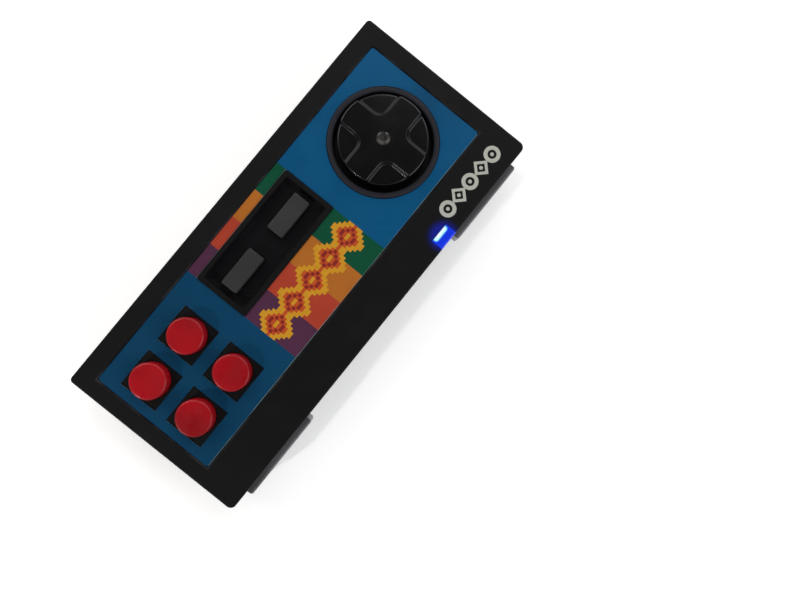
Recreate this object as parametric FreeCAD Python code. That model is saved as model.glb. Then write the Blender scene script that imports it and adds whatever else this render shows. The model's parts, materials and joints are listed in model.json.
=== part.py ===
"""Compact retro-style wireless game pad, one STEP file for each piece.

Frame: millimetres. The origin is the centre of the flat underside, +Z points up out of
the face, +X to the player's right (towards the action buttons), +Y to the back edge with
the shoulder buttons.
"""

import FreeCAD, Part
import math
import os

V = FreeCAD.Vector

# ---------------------------------------------------------------- driving dimensions
# Case
BODY_LENGTH = 133.35
BODY_DEPTH = 58.4
BODY_HEIGHT = 19.0
SPLIT_Z = 5.6  # parting line between the two shells
WALL = 2.0
FLOOR = 2.0
FACE_WALL = 1.8  # under the label recess
BACK_CORNER_R = 1.8
FRONT_CORNER_R = 1.2
FACE_EDGE_R = 0.5
BASE_EDGE_R = 0.8
LIP_HEIGHT = 0.8
LIP_THICKNESS = 0.9
LIP_GAP = 0.1

# Face label and its recess, as margins from the case's sides
LABEL_MARGIN_LEFT = 5.6
LABEL_MARGIN_RIGHT = 5.1
LABEL_MARGIN_FRONT = 5.9
LABEL_MARGIN_BACK = 12.85
LABEL_RECESS = 0.6
LABEL_BEVEL = 0.35
LABEL_THICKNESS = 0.25
LABEL_CORNER_R = 0.8
LABEL_GAP = 0.12  # between the label and whatever stands through it

# Direction pad
PAD_FROM_LEFT = 25.27  # centre, from the case's left side
PAD_Y = -3.4
PAD_R = 13.0
PAD_RISE = 4.0  # arms above the face
PAD_GAP = 1.45  # around the pad in its collar, for the tilt
COLLAR_WIDTH = 1.83
COLLAR_EDGE_R = 0.55
ARM_WIDTH = 7.3
QUARTER_DEPTH = 1.2
QUARTER_SLOPE = 0.8
QUARTER_CORNER_R = 2.5
DIMPLE_R = 1.9
DIMPLE_DEPTH = 0.5
PAD_EDGE_R = 0.5
PAD_SKIN = 1.5
PAD_FLANGE_LIP = 2.7  # flange beyond the disc
PAD_FLANGE_T = 1.2
PAD_CEILING_GAP = 0.35  # over the flange at full tilt
PAD_SLEEVE_GAP = 0.5
PAD_SLEEVE_DROP = 0.6  # sleeve past the flange
PAD_TILT_DEG = 4.0  # about each of its two axes
PAD_FOOT_R = 1.8
PAD_FOOT_INSET = 3.5  # feet inside the disc's rim
PAD_FOOT_LENGTH = 0.6
PAD_HUB_R = 3.2
HUB_OVER_BALL = 0.4  # share of the ball's radius, from its centre up to the hub
POST_UNDER_BALL = 0.35  # the same, down to the post
BALL_R = 1.75
BALL_BELOW_FLANGE = 0.2  # ball centre under the flange's lower face
POST_R = 2.4

# Select and start buttons, and the pocket that they stand in
POCKET_X = 2.25
POCKET_Y = -11.2
POCKET_LENGTH = 39.9  # over its rim
POCKET_WIDTH = 17.4
POCKET_RIM = 1.3
POCKET_SLOPE = 0.7
POCKET_DEPTH = 2.4
POCKET_FLOOR = 1.4
POCKET_CORNER_R = 0.6
SMALL_BUTTON_LENGTH = 12.8
SMALL_BUTTON_WIDTH = 5.3
SMALL_BUTTON_PITCH = 20.4
SMALL_BUTTON_DROP = 0.1  # its top under the face
SMALL_BUTTON_CORNER_R = 0.5
SMALL_BUTTON_EDGE_R = 0.3
SMALL_BUTTON_TRAVEL = 1.0
SMALL_FLANGE_T = 1.0
SMALL_FOOT_R = 2.2
SMALL_FOOT_LENGTH = 1.1

# Action buttons
ACTION_FROM_RIGHT = 22.375  # centre of the group, from the case's right side
ACTION_Y = -3.18
ACTION_PITCH_X = 16.1
ACTION_PITCH_Y = 16.3
ACTION_CAP_R = 5.25
ACTION_RISE = 3.2
ACTION_EDGE_R = 0.7
WINDOW_MARGIN = 0.925  # from a cap to the side of the label's square window
ACTION_TRAVEL = 1.5
ACTION_FLANGE_T = 1.2
ACTION_FOOT_R = 2.4
ACTION_FOOT_LENGTH = 1.5
KEY_WIDTH = 1.6  # tab that stops a button from turning
KEY_LENGTH = 0.9

# Shared by all the buttons
BUTTON_GAP = 0.2  # each side, between a cap and its hole
FLANGE_LIP = 0.85  # flange beyond the cap
REST_GAP = 0.1  # flange under the ceiling, at rest
SLEEVE_WALL = 1.1
SLEEVE_GAP = 0.3
SLEEVE_LENGTH = 2.4
DOME_GAP = 0.05  # dome under a button's foot
OVERLAP = 0.2  # how far joined solids run into each other

# Shoulder buttons
SHOULDER_FROM_SIDE = 5.6  # outer end, from the case's side
SHOULDER_LENGTH = 27.1
SHOULDER_BOTTOM = 7.6
SHOULDER_DROP = 4.1  # its top edge under the face
SHOULDER_STAND = 1.8  # proud of the back wall
SHOULDER_CORNER_R = 0.8
SHOULDER_GAP = 0.35
SHOULDER_END_GAP = 0.45
SHOULDER_FLANGE_T = 1.0
SHOULDER_FLANGE_GAP = 0.3  # inside the wall
SHOULDER_FLANGE_LIP = 0.8
SHOULDER_SWING_DEG = 2.4
SWITCH_REACH = 16.0  # hinge pin to switch
RIB_LENGTH = 1.05  # rib that meets the switch
RIB_HALF_WIDTH = 1.5
RIB_HALF_HEIGHT = 2.0
HINGE_INSET = 2.0  # hinge pin from the button's inner end
HINGE_DEPTH = 2.2  # hinge pin inside the wall's inner face
KNUCKLE_R = 1.8
PIN_R = 0.8
RUNNING_GAP = 0.05
PIN_POST_R = 1.9
PIN_POST_GAP = 0.4  # over the shoulder button
PIN_SEAT = 1.6  # pin's foot over the floor
PIN_HEAD_GAP = 0.2  # pin's top under the ceiling

# Board and what stands on it
BOARD_BOTTOM = 8.0
BOARD_T = 1.6
BOARD_GAP = 0.7  # to the walls
BOARD_BACK_SETBACK = 4.8  # from the back wall's inner face, behind the shoulder buttons
MEMBRANE_T = 0.8
DOME_BASE_R = 3.4
DOME_TOP_R = 2.3
DOME_WALL = 0.7
DOME_CROWN = 1.0
SWITCH_LENGTH = 6.0
SWITCH_DEPTH = 4.2
SWITCH_FROM_EDGE = 0.8  # of the board
SWITCH_COVER = 1.55  # over the plunger
PLUNGER_R = 1.2
PLUNGER_GAP = 0.1  # to the button's rib
PLUNGER_WELL = 2.4
PLUNGER_SEAT = 1.0  # plunger's foot over the bottom of its well
SHEET_MARGIN = 1.6  # membrane around its domes
SHEET_CORNER_R = 2.5
BOARD_BAY_GAP = 0.6
BOARD_BOSS_GAP = 0.4
NOTCH_RUN = 8.0  # a notch around a boss runs out past the board's edge

# Status light
LIGHT_WIDTH = 6.2
LIGHT_FROM_SHOULDER = 2.775  # centre, from the left shoulder button's inner end
LIGHT_DEPTH = 3.7  # along the face, from the back wall
LIGHT_HEIGHT = 2.8  # down the back wall
LIGHT_GAP = 0.1
LED_LENGTH = 3.5
LED_WIDTH = 1.9
LED_HEIGHT = 1.1
LED_GAP = 0.2  # under the light pipe
LED_EDGE_R = 0.15
PIPE_FOOT = 1.5  # height of the pipe's foot over the light
PIPE_WALL_GAP = 0.3

# Battery bay
CELL_R = 5.25
CELL_LENGTH = 44.5
NUB_R = 1.9
NUB_LENGTH = 0.9
CELL_GAP = 0.6
CELL_SIDE_GAP = 0.4
CELL_END_GAP = 0.1
CELL_RIM_R = 0.5
CONTACT_T = 0.3
SPRING_REACH = 3.2
DIMPLE_CONTACT = 0.5
DIMPLE_CONTACT_R = 2.2
PLATE_HALF = 4.4  # contact plate, across a cell
LEAF_WIDTH = 4.4
TAIL_RISE = 1.0  # solder tail over the board
TAIL_OFFSET = 3.4  # from the cell's axis
TAIL_WIDTH = 2.2
TAIL_SLOT = 2.9
BAY_WALL = 1.4
BAY_BACK_GAP = 0.4  # between the bay and the back wall
BAY_BASE_T = 3.4
BAY_BASE_SIDE = 1.4  # base beyond the door
DOOR_T = 1.8
DOOR_LEDGE = 0.9
DOOR_GAP = 0.3
DOOR_PIN_R = 0.5
DOOR_PIN_LENGTH = 1.2
DOOR_PIN_CLEARANCE = 0.6
GRIP_COUNT = 4
GRIP_PITCH = 1.6
GRIP_LENGTH = 14.0
GRIP_WIDTH = 0.8
GRIP_DEPTH = 0.35
GRIP_FROM_EDGE = 3.0
CELL_ABOVE_DOOR = 0.5
BAY_ROOF_GAP = 0.4  # between the bay and the top shell's ribs
PAD_BAY_GAP = 0.4  # between the bay and the direction pad's pieces

# Fasteners
BOSS_R = 2.8
CASE_SCREW_R = 1.15
CASE_SCREW_LENGTH = 10.0
CASE_HEAD_R = 2.2
CASE_HEAD_T = 1.4
COUNTERBORE_R = 2.6
COUNTERBORE_DEPTH = 3.2
COLUMN_R = 3.5
BOSS_FROM_SIDE = 5.7
BOSS_FROM_FRONT = 4.7
BOSS_FROM_BACK = 10.2
BAY_BOSS_OFFSET = 5.2  # bosses beside the bay, from its end
LEFT_BAY_BOSS = 14.7  # from the back, clear of the direction pad
RIGHT_BAY_BOSS = 7.7
CASE_HOLE_GAP = 0.25
SCREW_TIP_GAP = 0.5
BOARD_SCREW_R = 0.9
BOARD_SCREW_LENGTH = 6.0
BOARD_HEAD_R = 1.8
BOARD_HEAD_T = 1.0
BOARD_POST_R = 2.0
SCREW_GAP = 0.03
SEAT_GAP = 0.05

# Power switch
POWER_FROM_RIGHT = 22.7
POWER_Y = 14.0
POWER_BODY = (8.6, 4.4, 3.6)
POWER_TRAVEL = 2.0
POWER_KNOB = (1.8, 1.6)
POWER_INSET = 0.8  # knob's tip inside the underside
POWER_SLOT_GAP = 0.3  # each side of the knob, in the floor
FINGER_REACH = 3.8  # finger recess beyond the knob
FINGER_HALF_WIDTH = 3.0
FINGER_BEVEL = 0.8
FINGER_DEPTH = 1.0

# Battery wires
WIRE_R = 0.6

# ---------------------------------------------------------------- places worked out
LEFT, RIGHT = -BODY_LENGTH / 2, BODY_LENGTH / 2
FRONT, BACK = -BODY_DEPTH / 2, BODY_DEPTH / 2
FACE = BODY_HEIGHT
RECESS_Z = FACE - LABEL_RECESS
CEILING = RECESS_Z - FACE_WALL
IN_LEFT, IN_RIGHT = LEFT + WALL, RIGHT - WALL
IN_FRONT, IN_BACK = FRONT + WALL, BACK - WALL
CUT = 1.0  # how far a cutting body runs past a face

LABEL_BOX = (
    LEFT + LABEL_MARGIN_LEFT,
    RIGHT - LABEL_MARGIN_RIGHT,
    FRONT + LABEL_MARGIN_FRONT,
    BACK - LABEL_MARGIN_BACK,
)

BOARD_TOP = BOARD_BOTTOM + BOARD_T
SHEET_TOP = BOARD_TOP + MEMBRANE_T

PAD_X = LEFT + PAD_FROM_LEFT
PAD_HOLE_R = PAD_R + PAD_GAP
COLLAR_R = PAD_HOLE_R + COLLAR_WIDTH
PAD_FLANGE_R = PAD_R + PAD_FLANGE_LIP
PAD_FOOT_CIRCLE_R = PAD_R - PAD_FOOT_INSET
PAD_TOP = FACE + PAD_RISE
# Tilted about both axes at once, the flange's rim rises by this much.
PAD_DIAGONAL = math.sqrt(2) * math.sin(math.radians(PAD_TILT_DEG))
PAD_RIM_LIFT = PAD_FLANGE_R * PAD_DIAGONAL
PAD_FLANGE_TOP = CEILING - PAD_RIM_LIFT - PAD_CEILING_GAP
PAD_FLANGE_BOTTOM = PAD_FLANGE_TOP - PAD_FLANGE_T
PAD_FOOT_Z = PAD_FLANGE_BOTTOM - PAD_FOOT_LENGTH
BALL_Z = PAD_FLANGE_BOTTOM - BALL_BELOW_FLANGE
SOCKET_R = BALL_R + RUNNING_GAP
HUB_Z = BALL_Z + HUB_OVER_BALL * BALL_R
POST_TOP = BALL_Z - POST_UNDER_BALL * BALL_R
PAD_SLEEVE_R = PAD_FLANGE_R + PAD_SLEEVE_GAP

POCKET_FLOOR_Z = FACE - POCKET_DEPTH
POCKET_UNDER = POCKET_FLOOR_Z - POCKET_FLOOR
SMALL_TOP = FACE - SMALL_BUTTON_DROP
SMALL_FLANGE_TOP = POCKET_UNDER - REST_GAP
SMALL_FOOT_Z = SMALL_FLANGE_TOP - SMALL_FLANGE_T - SMALL_FOOT_LENGTH
SMALL_BUTTONS = {
    "select_button": POCKET_X - SMALL_BUTTON_PITCH / 2,
    "start_button": POCKET_X + SMALL_BUTTON_PITCH / 2,
}

ACTION_X = RIGHT - ACTION_FROM_RIGHT
ACTION_TOP = FACE + ACTION_RISE
ACTION_FLANGE_R = ACTION_CAP_R + FLANGE_LIP
ACTION_FLANGE_TOP = CEILING - REST_GAP
ACTION_FLANGE_BOTTOM = ACTION_FLANGE_TOP - ACTION_FLANGE_T
ACTION_FOOT_Z = ACTION_FLANGE_BOTTOM - ACTION_FOOT_LENGTH
ACTION_SLEEVE_R = ACTION_FLANGE_R + SLEEVE_GAP
ACTION_WINDOW = 2 * (ACTION_CAP_R + WINDOW_MARGIN)
ACTION_BUTTONS = {
    f"action_button_{row}_{side}": (ACTION_X + i * ACTION_PITCH_X / 2, ACTION_Y + j * ACTION_PITCH_Y / 2)
    for row, j in (("front", -1), ("back", 1))
    for side, i in (("left", -1), ("right", 1))
}

SHOULDER_TOP = FACE - SHOULDER_DROP
SHOULDER_OUT = RIGHT - SHOULDER_FROM_SIDE  # outer end, on the right side
SHOULDER_IN = SHOULDER_OUT - SHOULDER_LENGTH
HINGE_X = SHOULDER_IN + HINGE_INSET
HINGE_Y = IN_BACK - HINGE_DEPTH
SHOULDER_FLANGE_Y = IN_BACK - SHOULDER_FLANGE_GAP  # front face of the flange, just inside the wall
SHOULDER_MID_Z = (SHOULDER_BOTTOM + SHOULDER_TOP) / 2
SWITCH_X = HINGE_X + SWITCH_REACH
BOARD_BACK = IN_BACK - BOARD_BACK_SETBACK
SWITCH_BACK = BOARD_BACK - SWITCH_FROM_EDGE
RIB_TIP = SHOULDER_FLANGE_Y - SHOULDER_FLANGE_T - RIB_LENGTH
PLUNGER_TIP = RIB_TIP - PLUNGER_GAP
PLUNGER_STROKE = SWITCH_REACH * math.radians(SHOULDER_SWING_DEG)

LIGHT_X = -SHOULDER_IN + LIGHT_FROM_SHOULDER
LIGHT_FRONT = BACK - LIGHT_DEPTH
LIGHT_BOTTOM = FACE - LIGHT_HEIGHT
LED_Y = IN_BACK - BOARD_GAP - LIGHT_GAP - LED_WIDTH / 2

BAY_HALF = (CELL_LENGTH + CONTACT_T * 2 + SPRING_REACH + DIMPLE_CONTACT) / 2 + CELL_END_GAP
BAY_BACK = IN_BACK - BAY_BACK_GAP - BAY_WALL
BAY_FRONT = BAY_BACK - 4 * CELL_R - CELL_GAP - 2 * CELL_SIDE_GAP
CELL_Z = DOOR_T + CELL_ABOVE_DOOR + CELL_R
BAY_TOP = CELL_Z + CELL_R + CELL_SIDE_GAP
CELLS = {
    "cell_front": (BAY_FRONT + CELL_SIDE_GAP + CELL_R, 1),
    "cell_back": (BAY_BACK - CELL_SIDE_GAP - CELL_R, -1),
}
DOOR_LEDGE_Z = DOOR_T + DOOR_GAP
DOOR_FRONT = BAY_FRONT - DOOR_LEDGE
DOOR_BACK = BAY_BACK + DOOR_LEDGE
DOOR_HALF = BAY_HALF + DOOR_LEDGE
DOOR_AXIS_Y = DOOR_FRONT + DOOR_T / 2
DOOR_AXIS_Z = DOOR_T / 2
BAY_END = BAY_HALF + BAY_WALL
TAIL_Z = BOARD_TOP + TAIL_RISE

FRONT_ROW, BACK_ROW = FRONT + BOSS_FROM_FRONT, BACK - BOSS_FROM_BACK
SIDE_COLUMN = RIGHT - BOSS_FROM_SIDE
# Each case screw: place, and which way the board is cut open around its boss.
CASE_SCREWS = [
    (-SIDE_COLUMN, FRONT_ROW, -1, -1),
    (POCKET_X, FRONT_ROW, 0, -1),
    (SIDE_COLUMN, FRONT_ROW, 1, -1),
    (-SIDE_COLUMN, BACK_ROW, -1, 1),
    (SIDE_COLUMN, BACK_ROW, 1, 1),
    (-BAY_END - BAY_BOSS_OFFSET, BACK - LEFT_BAY_BOSS, 1, 0),
    (BAY_END + BAY_BOSS_OFFSET, BACK - RIGHT_BAY_BOSS, -1, 1),
]
BOARD_SCREWS = [
    (LEFT + 5.9, PAD_Y + 10.4),
    (PAD_X + 20.0, PAD_Y - 19.2),
    (POCKET_X + POCKET_LENGTH / 2 + 4.0, PAD_Y - 19.2),
    (RIGHT - 5.3, ACTION_Y),
]
POWER_X = RIGHT - POWER_FROM_RIGHT


# ---------------------------------------------------------------- helpers
def box(x0, x1, y0, y1, z0, z1):
    return Part.makeBox(x1 - x0, y1 - y0, z1 - z0, V(x0, y0, z0))


def block(x, y, length, width, z0, z1):
    """A box by its centre in plan."""
    return box(x - length / 2, x + length / 2, y - width / 2, y + width / 2, z0, z1)


def rod(x, y, z0, z1, r):
    return Part.makeCylinder(r, z1 - z0, V(x, y, z0))


def join(shapes):
    return shapes[0].fuse(shapes[1:]).removeSplitter()


def rounded_wire(x0, x1, y0, y1, z, radii):
    """A rectangle with a radius for each corner: front left, front right, back right, back left."""
    corners = [(x0, y0, 1, 1), (x1, y0, -1, 1), (x1, y1, -1, -1), (x0, y1, 1, -1)]
    ends, arcs = [], []
    for (x, y, sx, sy), r in zip(corners, radii):
        along_x, along_y = V(x + sx * r, y, z), V(x, y + sy * r, z)
        first, last = (along_y, along_x) if sx * sy > 0 else (along_x, along_y)
        bulge = r * (1 - math.sqrt(0.5))
        arcs.append(Part.Arc(first, V(x + sx * bulge, y + sy * bulge, z), last).toShape())
        ends.append((first, last))
    edges = []
    for i in range(4):
        edges.append(arcs[i])
        edges.append(Part.LineSegment(ends[i][1], ends[(i + 1) % 4][0]).toShape())
    return Part.Wire(edges)


def rounded_block(x0, x1, y0, y1, z0, z1, radii):
    if not isinstance(radii, (list, tuple)):
        radii = [radii] * 4
    face = Part.Face(rounded_wire(x0, x1, y0, y1, z0, radii))
    return face.extrude(V(0, 0, z1 - z0))


def flared_block(inner, flare, z0, z1, r):
    """A rounded block that is wider at z1 by flare on each side."""
    x0, x1, y0, y1 = inner
    low = rounded_wire(x0, x1, y0, y1, z0, [r] * 4)
    high = rounded_wire(x0 - flare, x1 + flare, y0 - flare, y1 + flare, z1, [r + flare] * 4)
    return Part.makeLoft([low, high], True, True)


def edges_at(shape, z, test=lambda edge: True):
    """Edges that lie in the plane at height z."""
    found = []
    for edge in shape.Edges:
        b = edge.BoundBox
        if abs(b.ZMin - z) < 1e-6 and abs(b.ZMax - z) < 1e-6 and test(edge):
            found.append(edge)
    return found


def is_circle(edge, r):
    return edge.Curve.TypeId == "Part::GeomCircle" and abs(edge.Curve.Radius - r) < 1e-6


def turned(points, x, y):
    """A solid of revolution about the vertical through x, y from (radius, height) points."""
    wire = Part.makePolygon([V(x + r, y, z) for r, z in points + points[:1]])
    return Part.Face(wire).revolve(V(x, y, 0), V(0, 0, 1), 360)


def rounded(shape, edges, r):
    return shape.makeFillet(r, edges)


def mirrored(shape):
    """The same piece for the other side of the case."""
    return shape.mirror(V(0, 0, 0), V(1, 0, 0))


def both_sides(shape):
    return [shape, mirrored(shape)]


def save(node, shape):
    if not shape.isValid() or shape.Volume <= 0:
        raise ValueError(f"{node} isn't a valid solid")
    shape.exportStep(f"parts/{node}.step")
    print(f"{node}: {len(shape.Solids)} solids, {shape.Volume:.1f} mm3")


# ---------------------------------------------------------------- shells
def case_block(z0, z1):
    radii = [FRONT_CORNER_R, FRONT_CORNER_R, BACK_CORNER_R, BACK_CORNER_R]
    return rounded_block(LEFT, RIGHT, FRONT, BACK, z0, z1, radii)


def ring(thickness, inset, z0, z1):
    """A rectangular ring of wall, its outside inset from the case's outside."""
    outer = box(LEFT + inset, RIGHT - inset, FRONT + inset, BACK - inset, z0, z1)
    i = inset + thickness
    return outer.cut(box(LEFT + i, RIGHT - i, FRONT + i, BACK - i, z0 - CUT, z1 + CUT))


def shoulder_slot():
    return box(
        SHOULDER_IN - SHOULDER_END_GAP,
        SHOULDER_OUT + SHOULDER_END_GAP,
        IN_BACK - CUT,
        BACK + CUT,
        SHOULDER_BOTTOM - SHOULDER_GAP,
        SHOULDER_TOP + SHOULDER_GAP,
    )


def pocket_outline(inset=0.0):
    """Outline of the pocket's rim in plan, or one that is inset from it."""
    hx, hy = POCKET_LENGTH / 2 - inset, POCKET_WIDTH / 2 - inset
    return POCKET_X - hx, POCKET_X + hx, POCKET_Y - hy, POCKET_Y + hy


def top_shell():
    shell = case_block(SPLIT_Z, FACE)
    shell = rounded(shell, edges_at(shell, FACE), FACE_EDGE_R)
    shell = shell.cut(box(IN_LEFT, IN_RIGHT, IN_FRONT, IN_BACK, SPLIT_Z - CUT, CEILING))
    recess = flared_block(LABEL_BOX, LABEL_BEVEL, RECESS_Z, FACE, LABEL_CORNER_R)
    recess = recess.fuse(rounded_lid(LABEL_BOX, LABEL_BEVEL, FACE, LABEL_CORNER_R))
    collar = rod(PAD_X, PAD_Y, RECESS_Z - CUT, FACE, COLLAR_R)
    rim = rounded_block(*pocket_outline(), RECESS_Z - CUT, FACE, POCKET_CORNER_R)
    shell = shell.cut(recess.cut(collar).cut(rim))

    added = [rounded_block(*pocket_outline(), POCKET_UNDER, CEILING + CUT, POCKET_CORNER_R)]
    sleeve_bottom = PAD_FLANGE_BOTTOM - PAD_SLEEVE_DROP
    added.append(rod(PAD_X, PAD_Y, sleeve_bottom, CEILING + CUT, PAD_SLEEVE_R + SLEEVE_WALL))
    for x, y in ACTION_BUTTONS.values():
        added.append(rod(x, y, CEILING - SLEEVE_LENGTH, CEILING + CUT, ACTION_SLEEVE_R + SLEEVE_WALL))
    for x, y, _, _ in CASE_SCREWS:
        added.append(rod(x, y, SPLIT_Z, CEILING + CUT, BOSS_R))
    for x, y in BOARD_SCREWS:
        added.append(rod(x, y, BOARD_TOP + SEAT_GAP, CEILING + CUT, BOARD_POST_R))
    pin_boss = rod(HINGE_X, HINGE_Y, SHOULDER_TOP + PIN_POST_GAP, CEILING + CUT, PIN_POST_R)
    added += both_sides(pin_boss)
    # Nothing added may reach past the case's inner half of the wall.
    o = OVERLAP
    keep = box(IN_LEFT - o, IN_RIGHT + o, IN_FRONT - o, IN_BACK + o, SPLIT_Z, CEILING + CUT)
    shell = join([shell] + [a.common(keep) for a in added])

    # The lip of the bottom shell sits in a rebate along the wall's inner half.
    rebate_w, rebate_z = LIP_THICKNESS + LIP_GAP, SPLIT_Z + LIP_HEIGHT + LIP_GAP
    cuts = [ring(rebate_w, WALL - rebate_w, SPLIT_Z - CUT, rebate_z)]
    # Room for the battery bay's roof.
    bay = BAY_END + BAY_ROOF_GAP
    bay_y = BAY_FRONT - BAY_WALL - BAY_ROOF_GAP
    cuts.append(box(-bay, bay, bay_y, IN_BACK, SPLIT_Z - CUT, BAY_TOP + BAY_WALL + BAY_ROOF_GAP))
    cuts.append(rod(PAD_X, PAD_Y, CEILING - CUT, FACE + CUT, PAD_HOLE_R))
    cuts.append(rod(PAD_X, PAD_Y, SPLIT_Z, CEILING, PAD_SLEEVE_R))
    floor = pocket_outline(POCKET_RIM + POCKET_SLOPE)
    cuts.append(flared_block(floor, POCKET_SLOPE, POCKET_FLOOR_Z, FACE, POCKET_CORNER_R))
    cuts.append(rounded_lid(floor, POCKET_SLOPE, FACE, POCKET_CORNER_R))
    for x in SMALL_BUTTONS.values():
        cuts.append(small_outline(x, BUTTON_GAP, POCKET_UNDER - CUT, POCKET_FLOOR_Z + CUT))
    for x, y in ACTION_BUTTONS.values():
        cuts.append(rod(x, y, CEILING - CUT, FACE + CUT, ACTION_CAP_R + BUTTON_GAP))
        cuts.append(rod(x, y, SPLIT_Z, CEILING, ACTION_SLEEVE_R))
        reach = ACTION_FLANGE_R + KEY_LENGTH + SLEEVE_GAP
        cuts.append(block(x + reach / 2, y, reach, KEY_WIDTH + 2 * BUTTON_GAP, SPLIT_Z, CEILING))
    for x, y, _, _ in CASE_SCREWS:
        cuts.append(rod(x, y, SPLIT_Z - CUT, screw_tip() + SCREW_TIP_GAP, CASE_SCREW_R + SCREW_GAP))
    for x, y in BOARD_SCREWS:
        tip = BOARD_BOTTOM + BOARD_SCREW_LENGTH + SCREW_TIP_GAP
        cuts.append(rod(x, y, BOARD_TOP - CUT, tip, BOARD_SCREW_R + SCREW_GAP))
    cuts += both_sides(shoulder_slot())
    cuts += both_sides(rod(HINGE_X, HINGE_Y, SHOULDER_TOP, CEILING - PIN_HEAD_GAP / 2, PIN_R + SCREW_GAP))
    half = LIGHT_WIDTH / 2 + LIGHT_GAP
    notch_y, notch_z = LIGHT_FRONT - LIGHT_GAP, LIGHT_BOTTOM - LIGHT_GAP
    cuts.append(box(LIGHT_X - half, LIGHT_X + half, notch_y, BACK + CUT, notch_z, FACE + CUT))
    for c in cuts:
        shell = shell.cut(c)
    shell = shell.removeSplitter()
    ring_edges = edges_at(shell, FACE, lambda edge: is_circle(edge, PAD_HOLE_R) or is_circle(edge, COLLAR_R))
    return rounded(shell, ring_edges, COLLAR_EDGE_R)


def rounded_lid(inner, flare, z, r):
    """Carries a flared cut on upwards, so that it opens the face cleanly."""
    x0, x1, y0, y1 = inner
    return rounded_block(x0 - flare, x1 + flare, y0 - flare, y1 + flare, z, z + CUT, r + flare)


def screw_tip():
    return COUNTERBORE_DEPTH + CASE_SCREW_LENGTH


def bottom_shell():
    shell = case_block(0, SPLIT_Z)
    shell = rounded(shell, edges_at(shell, 0), BASE_EDGE_R)
    shell = shell.cut(box(IN_LEFT, IN_RIGHT, IN_FRONT, IN_BACK, FLOOR, SPLIT_Z + CUT))
    added = [ring(LIP_THICKNESS, WALL - LIP_THICKNESS, SPLIT_Z - CUT, SPLIT_Z + LIP_HEIGHT)]
    for x, y, _, _ in CASE_SCREWS:
        column = rod(x, y, FLOOR - CUT / 2, SPLIT_Z - SEAT_GAP, COLUMN_R)
        added.append(column.common(box(IN_LEFT, IN_RIGHT, IN_FRONT, IN_BACK, 0, SPLIT_Z)))
    added.append(rod(PAD_X, PAD_Y, FLOOR - CUT / 2, POST_TOP, POST_R))
    added += both_sides(rod(HINGE_X, HINGE_Y, FLOOR - CUT / 2, SHOULDER_BOTTOM - PIN_POST_GAP, PIN_POST_R))
    # Battery bay: a thick base that the door sits in, four walls and a roof.
    side = DOOR_HALF + DOOR_PIN_LENGTH + BAY_BASE_SIDE
    base_front = DOOR_FRONT - BAY_BASE_SIDE
    added.append(box(-side, side, base_front, IN_BACK + OVERLAP, FLOOR - CUT / 2, BAY_BASE_T))
    bay_roof = BAY_TOP + BAY_WALL
    bay = box(-BAY_END, BAY_END, BAY_FRONT - BAY_WALL, BAY_BACK + BAY_WALL, FLOOR - CUT / 2, bay_roof)
    # The bay keeps clear of the direction pad's flange, however far it tilts.
    swept_low = PAD_FLANGE_BOTTOM - PAD_RIM_LIFT - PAD_BAY_GAP
    added.append(bay.cut(rod(PAD_X, PAD_Y, swept_low, bay_roof + CUT, PAD_FLANGE_R + PAD_BAY_GAP)))
    shell = join([shell] + added)

    cuts = [box(-BAY_HALF, BAY_HALF, BAY_FRONT, BAY_BACK, -CUT, BAY_TOP)]
    door_x, door_y0, door_y1 = DOOR_HALF + DOOR_GAP, DOOR_FRONT - DOOR_GAP, DOOR_BACK + DOOR_GAP
    cuts.append(box(-door_x, door_x, door_y0, door_y1, -CUT, DOOR_LEDGE_Z))
    pin_length = DOOR_PIN_LENGTH + DOOR_PIN_CLEARANCE
    pin_start = V(DOOR_HALF, DOOR_AXIS_Y, DOOR_AXIS_Z)
    pin_hole = Part.makeCylinder(DOOR_PIN_R + RUNNING_GAP, pin_length, pin_start, V(1, 0, 0))
    cuts += both_sides(pin_hole)
    for x, y, _, _ in CASE_SCREWS:
        cuts.append(rod(x, y, -CUT, COUNTERBORE_DEPTH, COUNTERBORE_R))
        cuts.append(rod(x, y, 0, SPLIT_Z + CUT, CASE_SCREW_R + CASE_HOLE_GAP))
    cuts.append(Part.makeSphere(SOCKET_R, V(PAD_X, PAD_Y, BALL_Z)))
    pin_foot = FLOOR + PIN_SEAT - SEAT_GAP
    cuts += both_sides(rod(HINGE_X, HINGE_Y, pin_foot, SHOULDER_BOTTOM, PIN_R + SCREW_GAP))
    slot_x, slot_length = BAY_END - BAY_WALL / 2, BAY_WALL + 2 * OVERLAP
    slot_z = (TAIL_Z - OVERLAP, TAIL_Z + CONTACT_T + OVERLAP)
    for tail_y in (tail_place(name) for name in CELLS):
        cuts.append(block(slot_x, tail_y, slot_length, TAIL_SLOT, *slot_z))
    knob_x, knob_y = POWER_KNOB
    slot = (knob_x + POWER_TRAVEL + 2 * POWER_SLOT_GAP, knob_y + 2 * POWER_SLOT_GAP)
    cuts.append(block(POWER_X + POWER_TRAVEL / 2, POWER_Y, *slot, -CUT, FLOOR + CUT))
    # A bevelled finger recess around the power switch's slot.
    finger_x = (POWER_X - FINGER_REACH, POWER_X + POWER_TRAVEL + FINGER_REACH)
    finger_y = (POWER_Y - FINGER_HALF_WIDTH, POWER_Y + FINGER_HALF_WIDTH)
    cuts.append(flared_block((*finger_x, *finger_y), -FINGER_BEVEL, 0, FINGER_DEPTH, 2 * FINGER_BEVEL))
    for c in cuts:
        shell = shell.cut(c)
    return shell.removeSplitter()


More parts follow.
